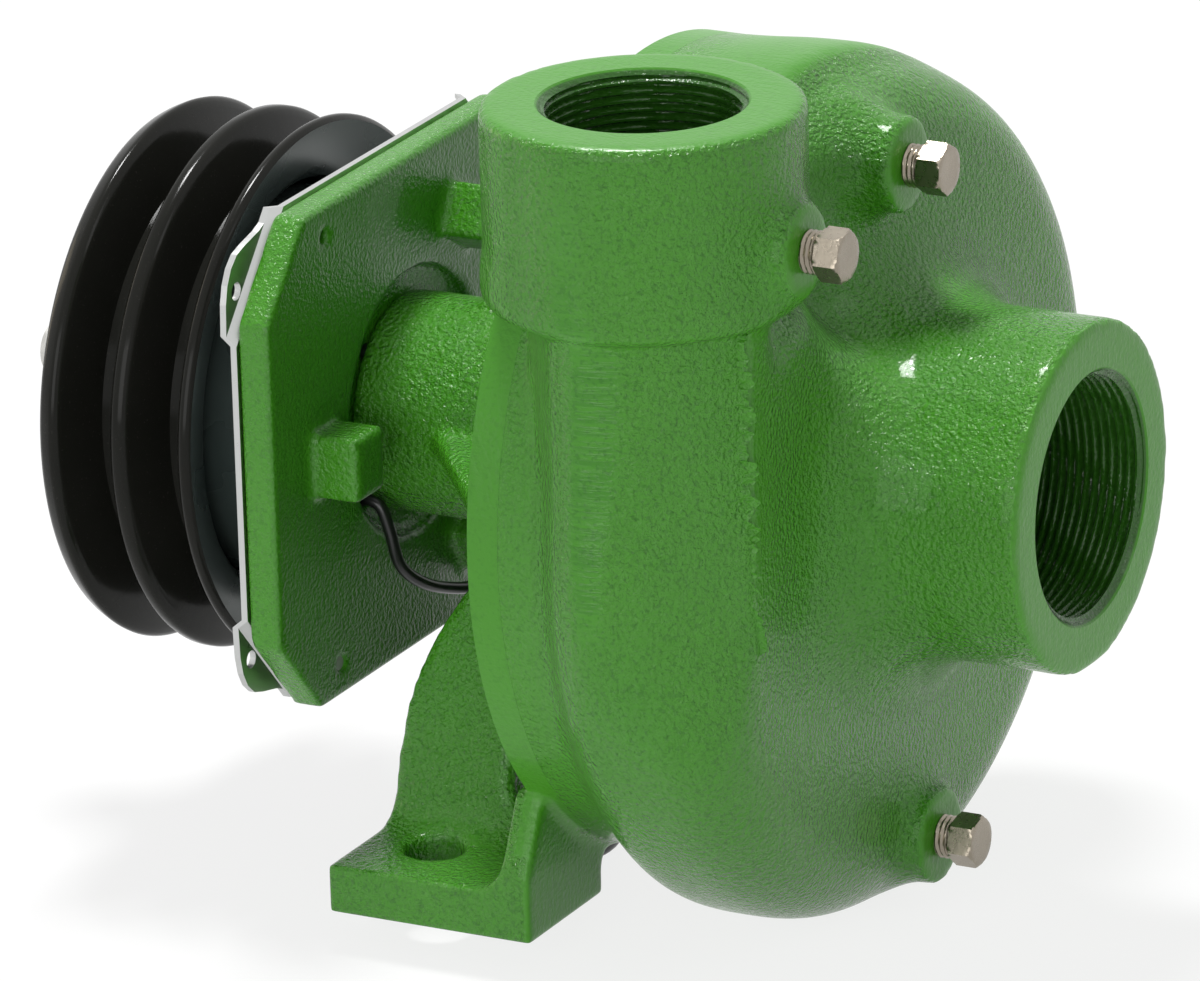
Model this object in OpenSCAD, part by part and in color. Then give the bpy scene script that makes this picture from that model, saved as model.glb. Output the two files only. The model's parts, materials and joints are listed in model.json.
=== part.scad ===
// End-suction centrifugal pump on a bearing frame, with a belt pulley and an
// electromagnetic clutch. Millimetres, +Z up. The shaft lies along X and the
// suction port faces +X. The origin is midway between the two foot bolt holes,
// on the plane that the feet stand on.
// Distances called x run from the joint between casing and frame, + to suction.

/* [Frame] */
// Height of the shaft above the feet
shaft_height = 101; // [100:1:108]
// Distance from the casing joint back to the foot bolt line
foot_bolt_back = 40; // [36:1:44]
// Half the spacing of the two foot bolts
foot_bolt_half = 60; // [56:1:64]
// Diameter of a foot bolt hole
foot_hole_d = 14.5; // [9:0.5:16]
// Half the width over the feet
foot_half_width = 80.5; // [79:0.5:90]
// Width of one foot pad
foot_pad_w = 38; // [36:1:42]
// Length of a foot pad along the shaft
foot_len = 54; // [52:1:60]
// Height of a foot pad
foot_pad_h = 12; // [11:0.5:14]
// Radius of the round frame flange
flange_r = 97.3; // [96.8:0.1:97.8]
// Thickness of the frame flange and of the pedestal plate
flange_t = 8; // [7:0.5:9]
// Radius of the pilot that centres the casing
pilot_r = 83.5; // [82:0.5:84]
// Length of the pilot
pilot_len = 4; // [3:0.5:5]
// Outer radius of the bearing tube
tube_r = 26.75; // [26:0.25:28]
// Distance from the joint back to the end of the tube
tube_end = 78; // [76:1:84]
// Thickness of the stiffening gussets
gusset_t = 6; // [4:0.5:8]
// Wall of the two slanted legs
leg_wall = 8; // [6:0.5:10]

/* [Casing] */
// Distance from the joint to the face of the suction port
suction_face = 106; // [104:1:112]
// Outer radius of the suction nozzle
nozzle_r = 42.3; // [41:0.1:43]
// Radius of the suction thread, 2 inch pipe
suction_thread_r = 30.1; // [29:0.1:31]
// Depth of the suction thread
suction_thread_len = 27; // [20:1:30]
// Radius of the suction passage
suction_bore_r = 26; // [24:0.5:27]
// Distance from the shaft to the discharge axis
discharge_offset = 72.6; // [71:0.2:74]
// Distance from the joint to the discharge axis
discharge_x = 28.5; // [27.5:0.5:30]
// Height of the discharge face above the shaft
discharge_top = 109.6; // [108:0.1:115]
// Outer radius of the discharge collar
collar_r = 37.9; // [37:0.1:39]
// Height of the discharge collar
collar_h = 47; // [42:1:50]
// Radius of the discharge thread, 1-1/2 inch pipe
discharge_thread_r = 24.1; // [23:0.1:25]
// Depth of the discharge thread
discharge_thread_len = 26; // [20:1:30]
// Radius of the discharge passage
discharge_bore_r = 20.5; // [19:0.5:21]
// Smallest outer radius of the scroll, above the cutwater
scroll_r_small = 92.5; // [92:0.5:95]
// Largest outer radius of the scroll, below the discharge
scroll_r_large = 109.5; // [108:0.5:112]
// Smallest width of the scroll along the shaft
scroll_w_small = 44; // [43:0.5:46]
// Largest width of the scroll along the shaft
scroll_w_large = 60; // [58:0.5:61]
// Largest radius of the ground band above the scroll
band_r = 98.9; // [98.6:0.1:99.4]
// Width of that band
band_w = 35; // [34:0.5:38]
// Radius of the rounded front shoulder of the scroll
shoulder_r = 20; // [16:1:22]
// Radius of the flare from the scroll into the suction nozzle
flare_r = 21; // [16:1:24]
// Radius of a plug boss
plug_boss_r = 11.8; // [10.5:0.1:12.5]

/* [Impeller] */
// Radius of the impeller
impeller_r = 76; // [72:1:78]
// Number of vanes
vane_count = 5; // [4:1:7]
// Thickness of a vane
vane_t = 3.6; // [3:0.2:5]
// Angle that each vane wraps through
vane_wrap = 115; // [90:5:140]
// Radius where the vanes start
vane_inner_r = 22; // [20:1:26]
// Width of the water passage at the rim
passage_w = 10.5; // [8:0.5:11]
// Thickness of each shroud
shroud_t = 3.2; // [2.5:0.1:3.5]
// Outer radius of the eye ring
eye_ring_r = 30.8; // [30:0.1:31.5]
// Inner radius of the eye
eye_r = 26.5; // [25:0.5:27]

/* [Shaft and bearings] */
// Shaft radius at the bearings
shaft_r = 8.5; // [8.2:0.1:8.8]
// Shaft radius under the impeller
shaft_front_r = 7.9; // [7.5:0.1:8]
// Shaft radius of the threaded ends
shaft_thread_r = 6; // [5:0.5:6.5]
// Bearing outer radius
bearing_r = 20; // [19.5:0.1:20.2]
// Bearing width
bearing_w = 12; // [10:0.5:13]
// Radius of a bearing ball
ball_r = 3.4; // [3:0.1:3.6]
// Number of balls in a bearing
ball_count = 8; // [6:1:9]

/* [Clutch plate] */
// Distance from the joint back to the front face of the clutch plate
plate_front = 74; // [72:0.5:75]
// Width of the clutch plate
plate_w = 141; // [136:1:146]
// Height of the clutch plate
plate_h = 123.4; // [118:0.2:128]
// Thickness of the clutch plate
plate_t = 8.8; // [8.2:0.1:10]
// Corner cut of the clutch plate along its width
corner_w = 19; // [16:0.5:22]
// Corner cut of the clutch plate along its height
corner_h = 21.4; // [18:0.2:24]
// Radius of the round recess round the tube
recess_r = 33; // [31:0.5:36]
// Distance from the centre to the inner face of a lug
lug_in = 39.5; // [38:0.5:42]
// Distance from the centre to the outer face of a lug
lug_out = 53; // [51:0.5:55]
// Width of a lug
lug_w = 16; // [14:0.5:18]
// Height of a lug above the plate
lug_h = 13; // [11:0.5:15]
// Distance of a corner hole from the side edge of the plate
corner_hole_in = 29.2; // [26:0.1:32]
// Distance of a corner hole from the top or bottom edge of the plate
corner_hole_down = 8; // [7:0.1:11]

/* [Clutch and pulley] */
// Radius over the pulley rims
pulley_r = 66.2; // [64:0.1:68]
// Distance from the joint back to the near face of the pulley
pulley_front = 99.8; // [99:0.1:102]
// Pitch of the belt grooves
groove_pitch = 19.2; // [18.5:0.1:20]
// Depth of a belt groove
groove_depth = 14; // [11:0.5:15]
// Thickness of a rim at its edge
rim_t = 3.6; // [3:0.1:4.5]
// Radius of the nose that carries the pulley bearing
nose_r = 17.5; // [17:0.1:17.8]
// Gap between armature and pulley when the clutch is open
clutch_gap = 0.6; // [0.4:0.1:1]
// Thickness of the zinc coil sheet
sheet_t = 1.6; // [1.2:0.1:2]
// Step of the sheet's ears away from the plate
ear_step = 2.6; // [2:0.1:4]

/* [Hidden] */
$fn = 72;

eps = 0.01;
run_gap = 0.05;
joint_x = foot_bolt_back;
pulley_w = 2 * groove_pitch + rim_t;
pulley_back = -pulley_front - pulley_w;

cast_green = [0.22, 0.47, 0.16];
steel = [0.72, 0.72, 0.70];
dark_steel = [0.30, 0.31, 0.32];
zinc = [0.80, 0.80, 0.78];
black = [0.05, 0.05, 0.05];
brass = [0.75, 0.60, 0.30];

// A child drawn along +Z is laid along the shaft, starting at distance x
module on_shaft(x = 0) {
    translate([joint_x + x, 0, shaft_height])
        rotate([0, 90, 0])
            children();
}

// A child is turned about the shaft to the angle a, from +Y towards +Z
module at_angle(a) {
    rotate([0, 0, a + 90])
        children();
}

// A child is laid along the shaft with its centre at y across and z above the shaft
module at_yz(x, y, z) {
    translate([joint_x + x, y, shaft_height + z])
        rotate([0, 90, 0])
            children();
}

// A ring or disc on the shaft from x0 to x1
module disc(x0, x1, r, bore = 0) {
    on_shaft(x0)
        difference() {
            cylinder(r = r, h = x1 - x0);
            if (bore > 0)
                translate([0, 0, -1])
                    cylinder(r = bore, h = x1 - x0 + 2);
        }
}

// A profile of [radius, x] points is turned about the shaft
module turned(points) {
    on_shaft(0)
        rotate_extrude()
            polygon(points);
}

function arc(cx, cy, r, a0, a1, n) =
    [for (i = [0:n]) let (a = a0 + (a1 - a0) * i / n) [cx + r * cos(a), cy + r * sin(a)]];

// Volute casing

scroll_start = 120;
scroll_steps = 56;
lip_w = 9;
lip_rise = 0.4;
lip_edge = 0.7;
bulge_w = 19;
bulge_curve = [[0.21, 0.38], [0.47, 0.65], [0.74, 0.87], [1, 1]];
core_r = 30;
flare_top = 3;

// Progress of the scroll from 0 after the cutwater to 1 below the discharge
function progress(a) =
    a > scroll_start ? (a - scroll_start) / (180 - scroll_start)
                     : (scroll_start - a) / (scroll_start + 180);
function scroll_r(p) =
    scroll_r_small + (scroll_r_large - scroll_r_small) * (1 - cos(180 * min(1, p / 0.58))) / 2;
function scroll_w(p) =
    scroll_w_small + (scroll_w_large - scroll_w_small) * pow(sin(90 * min(1, p / 0.36)), 0.9);
function corner_r(p) = shoulder_r - 5 * max(0, 1 - p / 0.3);

// Outer edge of the section from the joint to the front face, as [x, radius]
function scroll_edge(p) =
    let (r = scroll_r(p),
         w = scroll_w(p),
         sr = corner_r(p),
         lip = flange_r + lip_rise,
         bulge = max(band_r, r),
         turn = w - sr)
    concat(
        [[lip_w, lip]],
        [for (q = bulge_curve) [lip_w + bulge_w * q[0], lip + (bulge - lip) * q[1]]],
        [[max(band_w, turn - 1), bulge],
         [max(band_w + 2.2, turn + 2), bulge + 0.75 * (r - bulge)]],
        let (corner = arc(turn, r - sr, sr, 80, 0, 6))
            [for (i = [0:6]) [max(corner[i][0], band_w + 3 + 0.5 * i), corner[i][1]]]);

// Outline of the casing in a plane through the shaft, as [x, radius]
function scroll_section(p) =
    let (w = scroll_w(p),
         root = nozzle_r + flare_r)
    concat(
        [[0, core_r], [0, flange_r - lip_edge], [lip_edge, flange_r]],
        scroll_edge(p),
        [[w, root + 4]],
        arc(w + flare_r, root, flare_r, 180, 262, 6),
        [[w + flare_r + flare_top, core_r]]);

function ring_points() =
    [for (i = [0:scroll_steps - 1])
        let (a = 180 - 360 * i / scroll_steps)
        for (q = scroll_section(progress(a)))
            [q[0], q[1] * cos(a), q[1] * sin(a)]];

// Closed ring of sections, one after another round the shaft
module scroll_shell() {
    n = len(scroll_section(0));
    total = n * scroll_steps;
    faces = [for (i = [0:scroll_steps - 1], j = [0:n - 1])
        let (a = i * n + j,
             b = i * n + (j + 1) % n,
             c = (a + n) % total,
             d = (b + n) % total)
        each [[a, d, b], [a, c, d]]];
    translate([joint_x, 0, shaft_height])
        polyhedron(ring_points(), faces);
}

neck_inset = 0.15;
neck_wall = 7;

// Straight part of the scroll that rises to the discharge collar
module neck() {
    edge = scroll_edge(1);
    translate([joint_x, 0, shaft_height + 0.5])
        linear_extrude(discharge_top - collar_h)
            polygon(concat(
                [[lip_w, -nozzle_r - 2]],
                [for (q = edge) [q[0] - neck_inset, neck_inset - q[1]]],
                [[scroll_w_large - neck_inset, -nozzle_r - 24],
                 [scroll_w_small, -nozzle_r - 2]]));
    translate([joint_x + discharge_x, -discharge_offset, shaft_height])
        cylinder(r = discharge_bore_r + neck_wall, h = discharge_top - collar_h + 1);
}

collar_edge = 3;

module collar() {
    translate([joint_x + discharge_x, -discharge_offset, shaft_height + discharge_top - collar_h])
        rotate_extrude()
            polygon(concat(
                [[0, 0], [collar_r - 2 * collar_edge, 0]],
                arc(collar_r - 2 * collar_edge, 2 * collar_edge, 2 * collar_edge, 285, 360, 5),
                [[collar_r, collar_h - 0.6], [collar_r - 0.6, collar_h], [0, collar_h]]));
}

gauge_face = 70;
gauge_drop = 31.2;
gauge_z = discharge_top - gauge_drop;
prime_face = 60.2;
prime_y = 0;
prime_in = 16.4;
prime_z = scroll_r_small - prime_in;
drain_face = 65;
drain_y = 0;
drain_in = 18.3;
drain_z = drain_in - scroll_r_large;
plug_thread_r = 5.1;

module plug_boss(face, y, z, depth) {
    at_yz(face - depth, y, z) {
        cylinder(r = plug_boss_r, h = depth);
    }
}

module plug_hole(face, y, z, depth) {
    at_yz(face - depth, y, z)
        cylinder(r = plug_thread_r, h = depth + 1);
}

chamber_r = 84;
chamber_back = pilot_len;
channel_x0 = 12;
channel_in = 70;
channel_r = 87.5;
channel_grow = 3.5;
wear_ring_r = 36;
wear_ring_x0 = 38;
wear_ring_x1 = 47;
front_clear = 2;

impeller_back = 8;
rim_x0 = impeller_back + shroud_t;
rim_x1 = rim_x0 + passage_w;
eye_x = 46;

// Quarter turn of the water channel, from angle a down to a - 90
module channel_quarter(a, r, w, dy, dz) {
    translate([joint_x, dy, shaft_height + dz])
        rotate([0, 90, 0])
            at_angle(a - 90)
                rotate_extrude(angle = 90)
                    polygon([[channel_in - 5, channel_x0 + 2], [channel_in + 4, channel_x0],
                        [r - 5, channel_x0], [r, channel_x0 + 5], [r, w - 14], [r - 6, w - 8],
                        [channel_in, w - 8], [channel_in - 5, w - 12]]);
}

module water_space() {
    // pilot bore and impeller chamber
    disc(-1, pilot_len + 0.2, pilot_r + run_gap);
    turned([[0, 0], [chamber_r - 1, 0], [chamber_r - 1, rim_x1 + shroud_t + front_clear],
        [wear_ring_r - 3, wear_ring_x0 + 1], [0, wear_ring_x0 + 1]]);
    channel_quarter(180, channel_r, scroll_w_small, 0, 0);
    channel_quarter(90, channel_r, scroll_w(0.2), 0, 0);
    channel_quarter(0, channel_r + channel_grow, scroll_w(0.5), -channel_grow, 0);
    channel_quarter(-90, channel_r + 2 * channel_grow, scroll_w(0.8), -channel_grow, channel_grow);
    // straight run up to the discharge
    translate([joint_x + discharge_x, -discharge_offset, shaft_height - 8])
        cylinder(r = discharge_bore_r, h = discharge_top + 9);
    translate([joint_x + channel_x0 + 2, -discharge_offset - discharge_bore_r - 6, shaft_height - 1])
        cube([scroll_w(0.8) - 8 - channel_x0 - 4, discharge_bore_r + 6, 36]);
    translate([joint_x + discharge_x, -discharge_offset,
            shaft_height + discharge_top - discharge_thread_len])
        cylinder(r = discharge_thread_r, h = discharge_thread_len + 1);
    // suction
    disc(wear_ring_x0 - 1, suction_face + 1, suction_bore_r);
    disc(wear_ring_x0, wear_ring_x1, wear_ring_r);
    disc(suction_face - suction_thread_len, suction_face + 1, suction_thread_r);
}

bolt_count = 8;
bolt_r = pilot_r + 7;
bolt_shank_r = 3.1;
bolt_depth = 9;
bolt_turn = 22.5;
bolt_head_r = 4.6;
bolt_head_h = 3.8;
bolt_sink = 0.3;

module bolt_circle() {
    for (i = [0:bolt_count - 1])
        at_angle(i * 360 / bolt_count + bolt_turn)
            translate([bolt_r, 0, 0])
                children();
}

module volute_casing() {
    color(cast_green)
        difference() {
            union() {
                scroll_shell();
                disc(0, suction_face, nozzle_r);
                neck();
                collar();
                plug_boss(gauge_face, -discharge_offset, gauge_z, gauge_face - discharge_x);
                plug_boss(prime_face, prime_y, prime_z, 18);
                plug_boss(drain_face, drain_y, drain_z, 34);
            }
            water_space();
            // notch under the collar that clears the frame flange
            disc(-30, 0, flange_r + 0.6);
            plug_hole(gauge_face, -discharge_offset, gauge_z, gauge_face - discharge_x);
            plug_hole(prime_face, prime_y, prime_z, prime_face - 24);
            plug_hole(drain_face, drain_y, drain_z, drain_face - 38);
            on_shaft(-1)
                bolt_circle()
                    cylinder(r = bolt_shank_r, h = bolt_depth + 1.5, $fn = 24);
        }
}

module wear_ring() {
    color(brass)
        disc(wear_ring_x0 + 0.2, wear_ring_x1, wear_ring_r, eye_ring_r + 0.1);
}

// Plugs

plug_show = 4;
plug_in = 8;
plug_head_h = 6.3;
plug_head_r = 6.55;

module hex_plug(face, y, z) {
    color(steel)
        at_yz(face - plug_in, y, z) {
            cylinder(r = plug_thread_r, h = plug_in + plug_show);
            translate([0, 0, plug_in + plug_show])
                rotate([0, 0, 30])
                    intersection() {
                        cylinder(r = plug_head_r, h = plug_head_h, $fn = 6);
                        cylinder(r1 = plug_head_r + plug_head_h, r2 = plug_head_r - 0.5, h = plug_head_h);
                    }
        }
}

module gauge_plug() hex_plug(gauge_face, -discharge_offset, gauge_z);
module prime_plug() hex_plug(prime_face, prime_y, prime_z);
module drain_plug() hex_plug(drain_face, drain_y, drain_z);

// Bearing frame

seal_bore_r = 16.5;
seal_bore_x = -8;
seal_wall_x = -12;
shaft_hole_r = 9.6;
slinger_bore_r = 17;
front_bearing_x = -38;
rear_bearing_x = -tube_end + 8;
plate_back = plate_front + plate_t;
pedestal_front = -4;
pedestal_back = pedestal_front - flange_t;
leg_back = pedestal_front - foot_len;
relief_h = 10;
leg_top_y = 26.5;
leg_mid_y = 35;
leg_mid_z = -40;
leg_low_y = 46;
leg_fillet_r = 11;
fillet_r = 7;

// Outline of the pedestal plate below the flange, as [y, z] from the shaft
module pedestal_plate() {
    top_z = -66;
    knee_z = -shaft_height + 17;
    y1 = sqrt(flange_r * flange_r - top_z * top_z);
    foot_in = foot_half_width - foot_pad_w;
    translate([joint_x + pedestal_back, 0, shaft_height])
        rotate([90, 0, 90])
            linear_extrude(pedestal_front - pedestal_back)
                polygon([[-y1, top_z], [-foot_half_width, knee_z], [-foot_half_width, -shaft_height],
                    [-foot_in, -shaft_height], [-foot_in, -shaft_height + relief_h],
                    [foot_in, -shaft_height + relief_h], [foot_in, -shaft_height],
                    [foot_half_width, -shaft_height], [foot_half_width, knee_z], [y1, top_z]]);
}

// Leg on the +Y side, slanting out from under the tube down to the pad
module leg() {
    pad_z = foot_pad_h - shaft_height;
    translate([joint_x + leg_back, 0, shaft_height])
        rotate([90, 0, 90])
            linear_extrude(foot_len)
                polygon(concat(
                    [[leg_top_y - leg_wall, -gusset_t / 2], [leg_top_y, -gusset_t / 2], [leg_mid_y, leg_mid_z]],
                    arc(leg_low_y + leg_fillet_r, pad_z + leg_fillet_r, leg_fillet_r, 185, 270, 6),
                    [[leg_low_y + leg_fillet_r, pad_z - 3], [foot_half_width - foot_pad_w, pad_z - 6],
                     [leg_low_y - leg_wall, pad_z + leg_fillet_r - 3], [leg_mid_y - leg_wall, leg_mid_z]]));
}

lean_z = -72;
lean = 0.0094;
lean_steps = 12;

// Rear edge of the legs leans forward towards the tube
module leg_rear_cut() {
    step = -lean_z / lean_steps;
    translate([joint_x, 0, shaft_height])
        rotate([90, 0, 0])
            linear_extrude(3 * foot_half_width, center = true)
                polygon(concat(
                    [[leg_back - 20, lean_z]],
                    [for (i = [0:lean_steps]) [leg_back + lean * i * step * i * step, lean_z + i * step]],
                    [[leg_back - 20, 0]]));
}

leg_window_x = -19.5;
leg_window_w = 15;
leg_window_top = -62;
leg_window_bottom = -84;

module leg_window() {
    hw = leg_window_w / 2;
    translate([joint_x + leg_window_x, 0, shaft_height])
        rotate([90, 0, 0]) {
            translate([0, leg_window_top - hw, 0])
                cylinder(r = hw, h = 2 * foot_half_width, center = true, $fn = 32);
            translate([0, leg_window_bottom + hw, 0])
                cylinder(r = hw, h = 2 * foot_half_width, center = true, $fn = 32);
            translate([-hw, leg_window_bottom + hw, -foot_half_width])
                cube([leg_window_w, leg_window_top - leg_window_bottom - leg_window_w, 2 * foot_half_width]);
        }
}

module foot_pad() {
    translate([joint_x + leg_back, foot_half_width - foot_pad_w, 0])
        cube([foot_len, foot_pad_w, foot_pad_h]);
    // rounded inner corner where the pad meets the pedestal plate
    translate([joint_x + pedestal_back, foot_half_width, foot_pad_h])
        rotate([90, 0, 0])
            linear_extrude(foot_pad_w)
                difference() {
                    translate([-fillet_r, -1])
                        square([fillet_r + 1, fillet_r + 1]);
                    translate([-fillet_r, fillet_r])
                        circle(r = fillet_r, $fn = 32);
                }
}

gusset_reach = 86;
gusset_back = 55;

module gusset(a) {
    on_shaft(0)
        at_angle(a)
            rotate([90, 0, 0])
                linear_extrude(gusset_t, center = true)
                    polygon([[tube_r - 3, -gusset_back], [tube_r, -gusset_back],
                        [gusset_reach, -flange_t + eps], [tube_r - 3, -flange_t + eps]]);
}

module bearing_frame() {
    color(cast_green)
        difference() {
            union() {
                disc(-flange_t, 0, flange_r);
                disc(-1, pilot_len, pilot_r);
                disc(-tube_end, -1, tube_r);
                // rounded root of the tube
                turned(concat([[tube_r - 2, -flange_t + 1], [tube_r - 2, -flange_t - 9]],
                    arc(tube_r + 9, -flange_t - 9, 9, 180, 90, 6),
                    [[tube_r + 9, -flange_t + 1]]));
                gusset(0);
                gusset(90);
                gusset(180);
                pedestal_plate();
                for (side = [0, 1])
                    mirror([0, side, 0]) {
                        difference() {
                            leg();
                            leg_rear_cut();
                            leg_window();
                        }
                        foot_pad();
                    }
            }
            // seal bore, shaft hole, slinger space and bearing bore
            disc(seal_bore_x, pilot_len + 1, seal_bore_r);
            disc(-40, 1, shaft_hole_r);
            disc(front_bearing_x + bearing_w, seal_wall_x, slinger_bore_r);
            disc(-tube_end - 1, front_bearing_x + bearing_w, bearing_r);
            // drip hole below the slinger
            translate([joint_x - 18, 0, shaft_height - tube_r - 8])
                cylinder(r = 4, h = tube_r);
            for (side = [-1, 1])
                translate([0, side * foot_bolt_half, -1])
                    cylinder(d = foot_hole_d, h = foot_pad_h + 20);
            on_shaft(-flange_t - 1)
                bolt_circle() {
                    cylinder(r = bolt_shank_r, h = flange_t + pilot_len + 2, $fn = 24);
                    cylinder(r = bolt_head_r + 0.3, h = bolt_head_h + bolt_sink + 1, $fn = 32);
                }
            on_shaft(-tube_end - 1)
                plate_screw_circle()
                    cylinder(r = plate_screw_r, h = 12, $fn = 24);
            // O-ring groove at the root of the pilot
            disc(0, o_ring_w, pilot_r + 1, pilot_r - o_ring_w);
        }
}

o_ring_w = 2.6;

module casing_o_ring() {
    color(black)
        on_shaft(o_ring_w / 2)
            rotate_extrude()
                translate([pilot_r - o_ring_w / 2, 0])
                    circle(r = o_ring_w / 2 - 0.02, $fn = 24);
}

socket_r = 2.7;
socket_depth = 2.2;

module frame_bolts() {
    color(dark_steel)
        on_shaft(-flange_t + bolt_sink)
            bolt_circle()
                difference() {
                    union() {
                        cylinder(r = bolt_head_r, h = bolt_head_h, $fn = 32);
                        cylinder(r = bolt_shank_r, h = flange_t - bolt_sink + bolt_depth, $fn = 24);
                    }
                    translate([0, 0, -1])
                        cylinder(r = socket_r, h = socket_depth + 1, $fn = 6);
                }
}

// Impeller and shaft

impeller_hub_r = 15;
hub_front_x = 30;
eye_curve_r = 13;
impeller_bore_gap = 0.02;

// Inner face of the front shroud as [radius, x] from the rim to the eye
function shroud_curve(d) =
    concat([[impeller_r, rim_x1 + d], [impeller_r - 12, rim_x1 + 0.6 + d]],
        [for (i = [0:6]) let (t = i / 6)
            [impeller_r - 20 - (impeller_r - 20 - eye_r - d) * sin(90 * t),
             rim_x1 + 1.6 + d + (eye_x - 8 - rim_x1 - 1.6 - d) * (1 - cos(90 * t))]]);

// Centre line of a vane as [radius, angle], swept back from the eye to the rim
function vane_line(side) =
    [for (i = [0:12])
        let (t = i / 12,
             r = vane_inner_r + (impeller_r - 0.4 - vane_inner_r) * t,
             a = -vane_wrap * pow(t, 0.8),
             half = side * (vane_t / 2) * (i == 0 ? 0.4 : 1),
             slope = atan2(-vane_wrap * PI / 180 * 0.8 * pow(max(t, 0.05), -0.2) * r, impeller_r - vane_inner_r))
        [r * cos(a) - half * sin(a + slope), r * sin(a) + half * cos(a + slope)]];

function reversed(list) = [for (i = [len(list) - 1:-1:0]) list[i]];

module vane() {
    linear_extrude(eye_x - impeller_back)
        polygon(concat(vane_line(1), reversed(vane_line(-1))));
}

module vane_envelope() {
    rotate_extrude()
        polygon(concat([[impeller_hub_r - 2, rim_x0 - 0.5], [impeller_r - 0.4, rim_x0 - 0.5],
            [impeller_r - 0.4, rim_x1 + 0.5]],
            [for (q = shroud_curve(0.5)) if (q[0] < impeller_r - 1 && q[0] > eye_r + 1) q],
            [[eye_r + 0.8, eye_x - 12], [impeller_hub_r - 2, hub_front_x - 3]]));
}

module impeller() {
    color(brass)
        difference() {
            union() {
                // back shroud and hub
                turned([[0, impeller_back], [impeller_r, impeller_back], [impeller_r, rim_x0],
                    [impeller_hub_r + 16, rim_x0], [impeller_hub_r + 6, rim_x0 + 2.5],
                    [impeller_hub_r, rim_x0 + 8], [impeller_hub_r - 2, hub_front_x], [0, hub_front_x]]);
                // front shroud and eye ring
                turned(concat(shroud_curve(0), [[eye_r, eye_x], [eye_ring_r, eye_x],
                    [eye_ring_r, eye_x - 9]], reversed(shroud_curve(shroud_t))));
                on_shaft(0)
                    intersection() {
                        for (i = [0:vane_count - 1])
                            rotate([0, 0, i * 360 / vane_count])
                                translate([0, 0, impeller_back])
                                    vane();
                        vane_envelope();
                    }
            }
            disc(impeller_back - 1, hub_front_x + 1, shaft_front_r + impeller_bore_gap);
            key_slot(impeller_back - 1, hub_front_x + 1, shaft_front_r, front_key_w, front_key_h);
            // balance holes
            for (i = [0:vane_count - 1])
                on_shaft(impeller_back - 1)
                    at_angle(i * 360 / vane_count + 30)
                        translate([impeller_hub_r + 5, 0, 0])
                            cylinder(r = 2, h = 8, $fn = 24);
        }
}

front_key_w = 4;
front_key_h = 2;

// Rectangular key space from x0 to x1, standing above a shaft of radius r
module key_slot(x0, x1, r, w, h) {
    on_shaft(x0)
        at_angle(90)
            translate([r - h, -w / 2, 0])
                cube([2 * h, w, x1 - x0]);
}

module impeller_key() {
    color(dark_steel)
        key_slot(impeller_back + 4, hub_front_x - 2, shaft_front_r, front_key_w - 0.04, front_key_h - 0.02);
}

washer_t = 2;
nut_h = 9;

module impeller_washer() {
    color(steel)
        disc(hub_front_x, hub_front_x + washer_t, 11.5, shaft_thread_r + 0.1);
}

module impeller_nut() {
    color(steel)
        difference() {
            on_shaft(hub_front_x + washer_t)
                intersection() {
                    cylinder(r = 10.5, h = nut_h, $fn = 6);
                    cylinder(r1 = 10.5, r2 = 8, h = nut_h);
                }
            disc(hub_front_x + washer_t - 1, hub_front_x + washer_t + nut_h + 1, shaft_thread_r);
        }
}

hub_end_gap = 3;
hub_len = 17;
hub_x1 = -pulley_front - pulley_w - clutch_gap - hub_end_gap;
hub_x0 = hub_x1 - hub_len;
hub_washer_r = 12;
hub_washer_t = 2;
hub_nut_h = 8;

module shaft() {
    color(steel)
        difference() {
            union() {
                disc(hub_x0, seal_wall_x, shaft_r);
                disc(seal_wall_x - 1, hub_front_x, shaft_front_r);
                disc(hub_front_x - 1, hub_front_x + washer_t + nut_h + 2, shaft_thread_r);
                disc(hub_x0 - hub_washer_t - hub_nut_h - 3, hub_x0 + 1, shaft_thread_r);
            }
            key_slot(impeller_back + 4, hub_front_x - 2, shaft_front_r, front_key_w, front_key_h);
            key_slot(hub_x0 + 2, hub_x1 - 3, shaft_r, hub_key_w, hub_key_h);
        }
}

// Mechanical seal

seat_front = -1.5;
seal_face_gap = 0.05;
ring_front = 2;
seal_ring_r = 12.8;

module seal_cup() {
    color(black)
        turned([[seal_bore_r - 2.5, seat_front - 1], [seal_bore_r - 2.5, seal_bore_x + 1.2],
            [shaft_hole_r + 1, seal_bore_x + 1.2], [shaft_hole_r + 1, seal_bore_x],
            [seal_bore_r, seal_bore_x], [seal_bore_r, seat_front - 1]]);
}

module seal_seat() {
    color([0.9, 0.88, 0.82])
        disc(seal_bore_x + 1.2, seat_front, seal_bore_r - 2.5, shaft_hole_r);
}

module seal_ring() {
    color(dark_steel)
        disc(seat_front + seal_face_gap, ring_front, seal_ring_r, shaft_front_r);
}

spring_wire = 0.8;
spring_r = 11.4;
spring_turns = 3;
spring_rings = 54;

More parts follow.
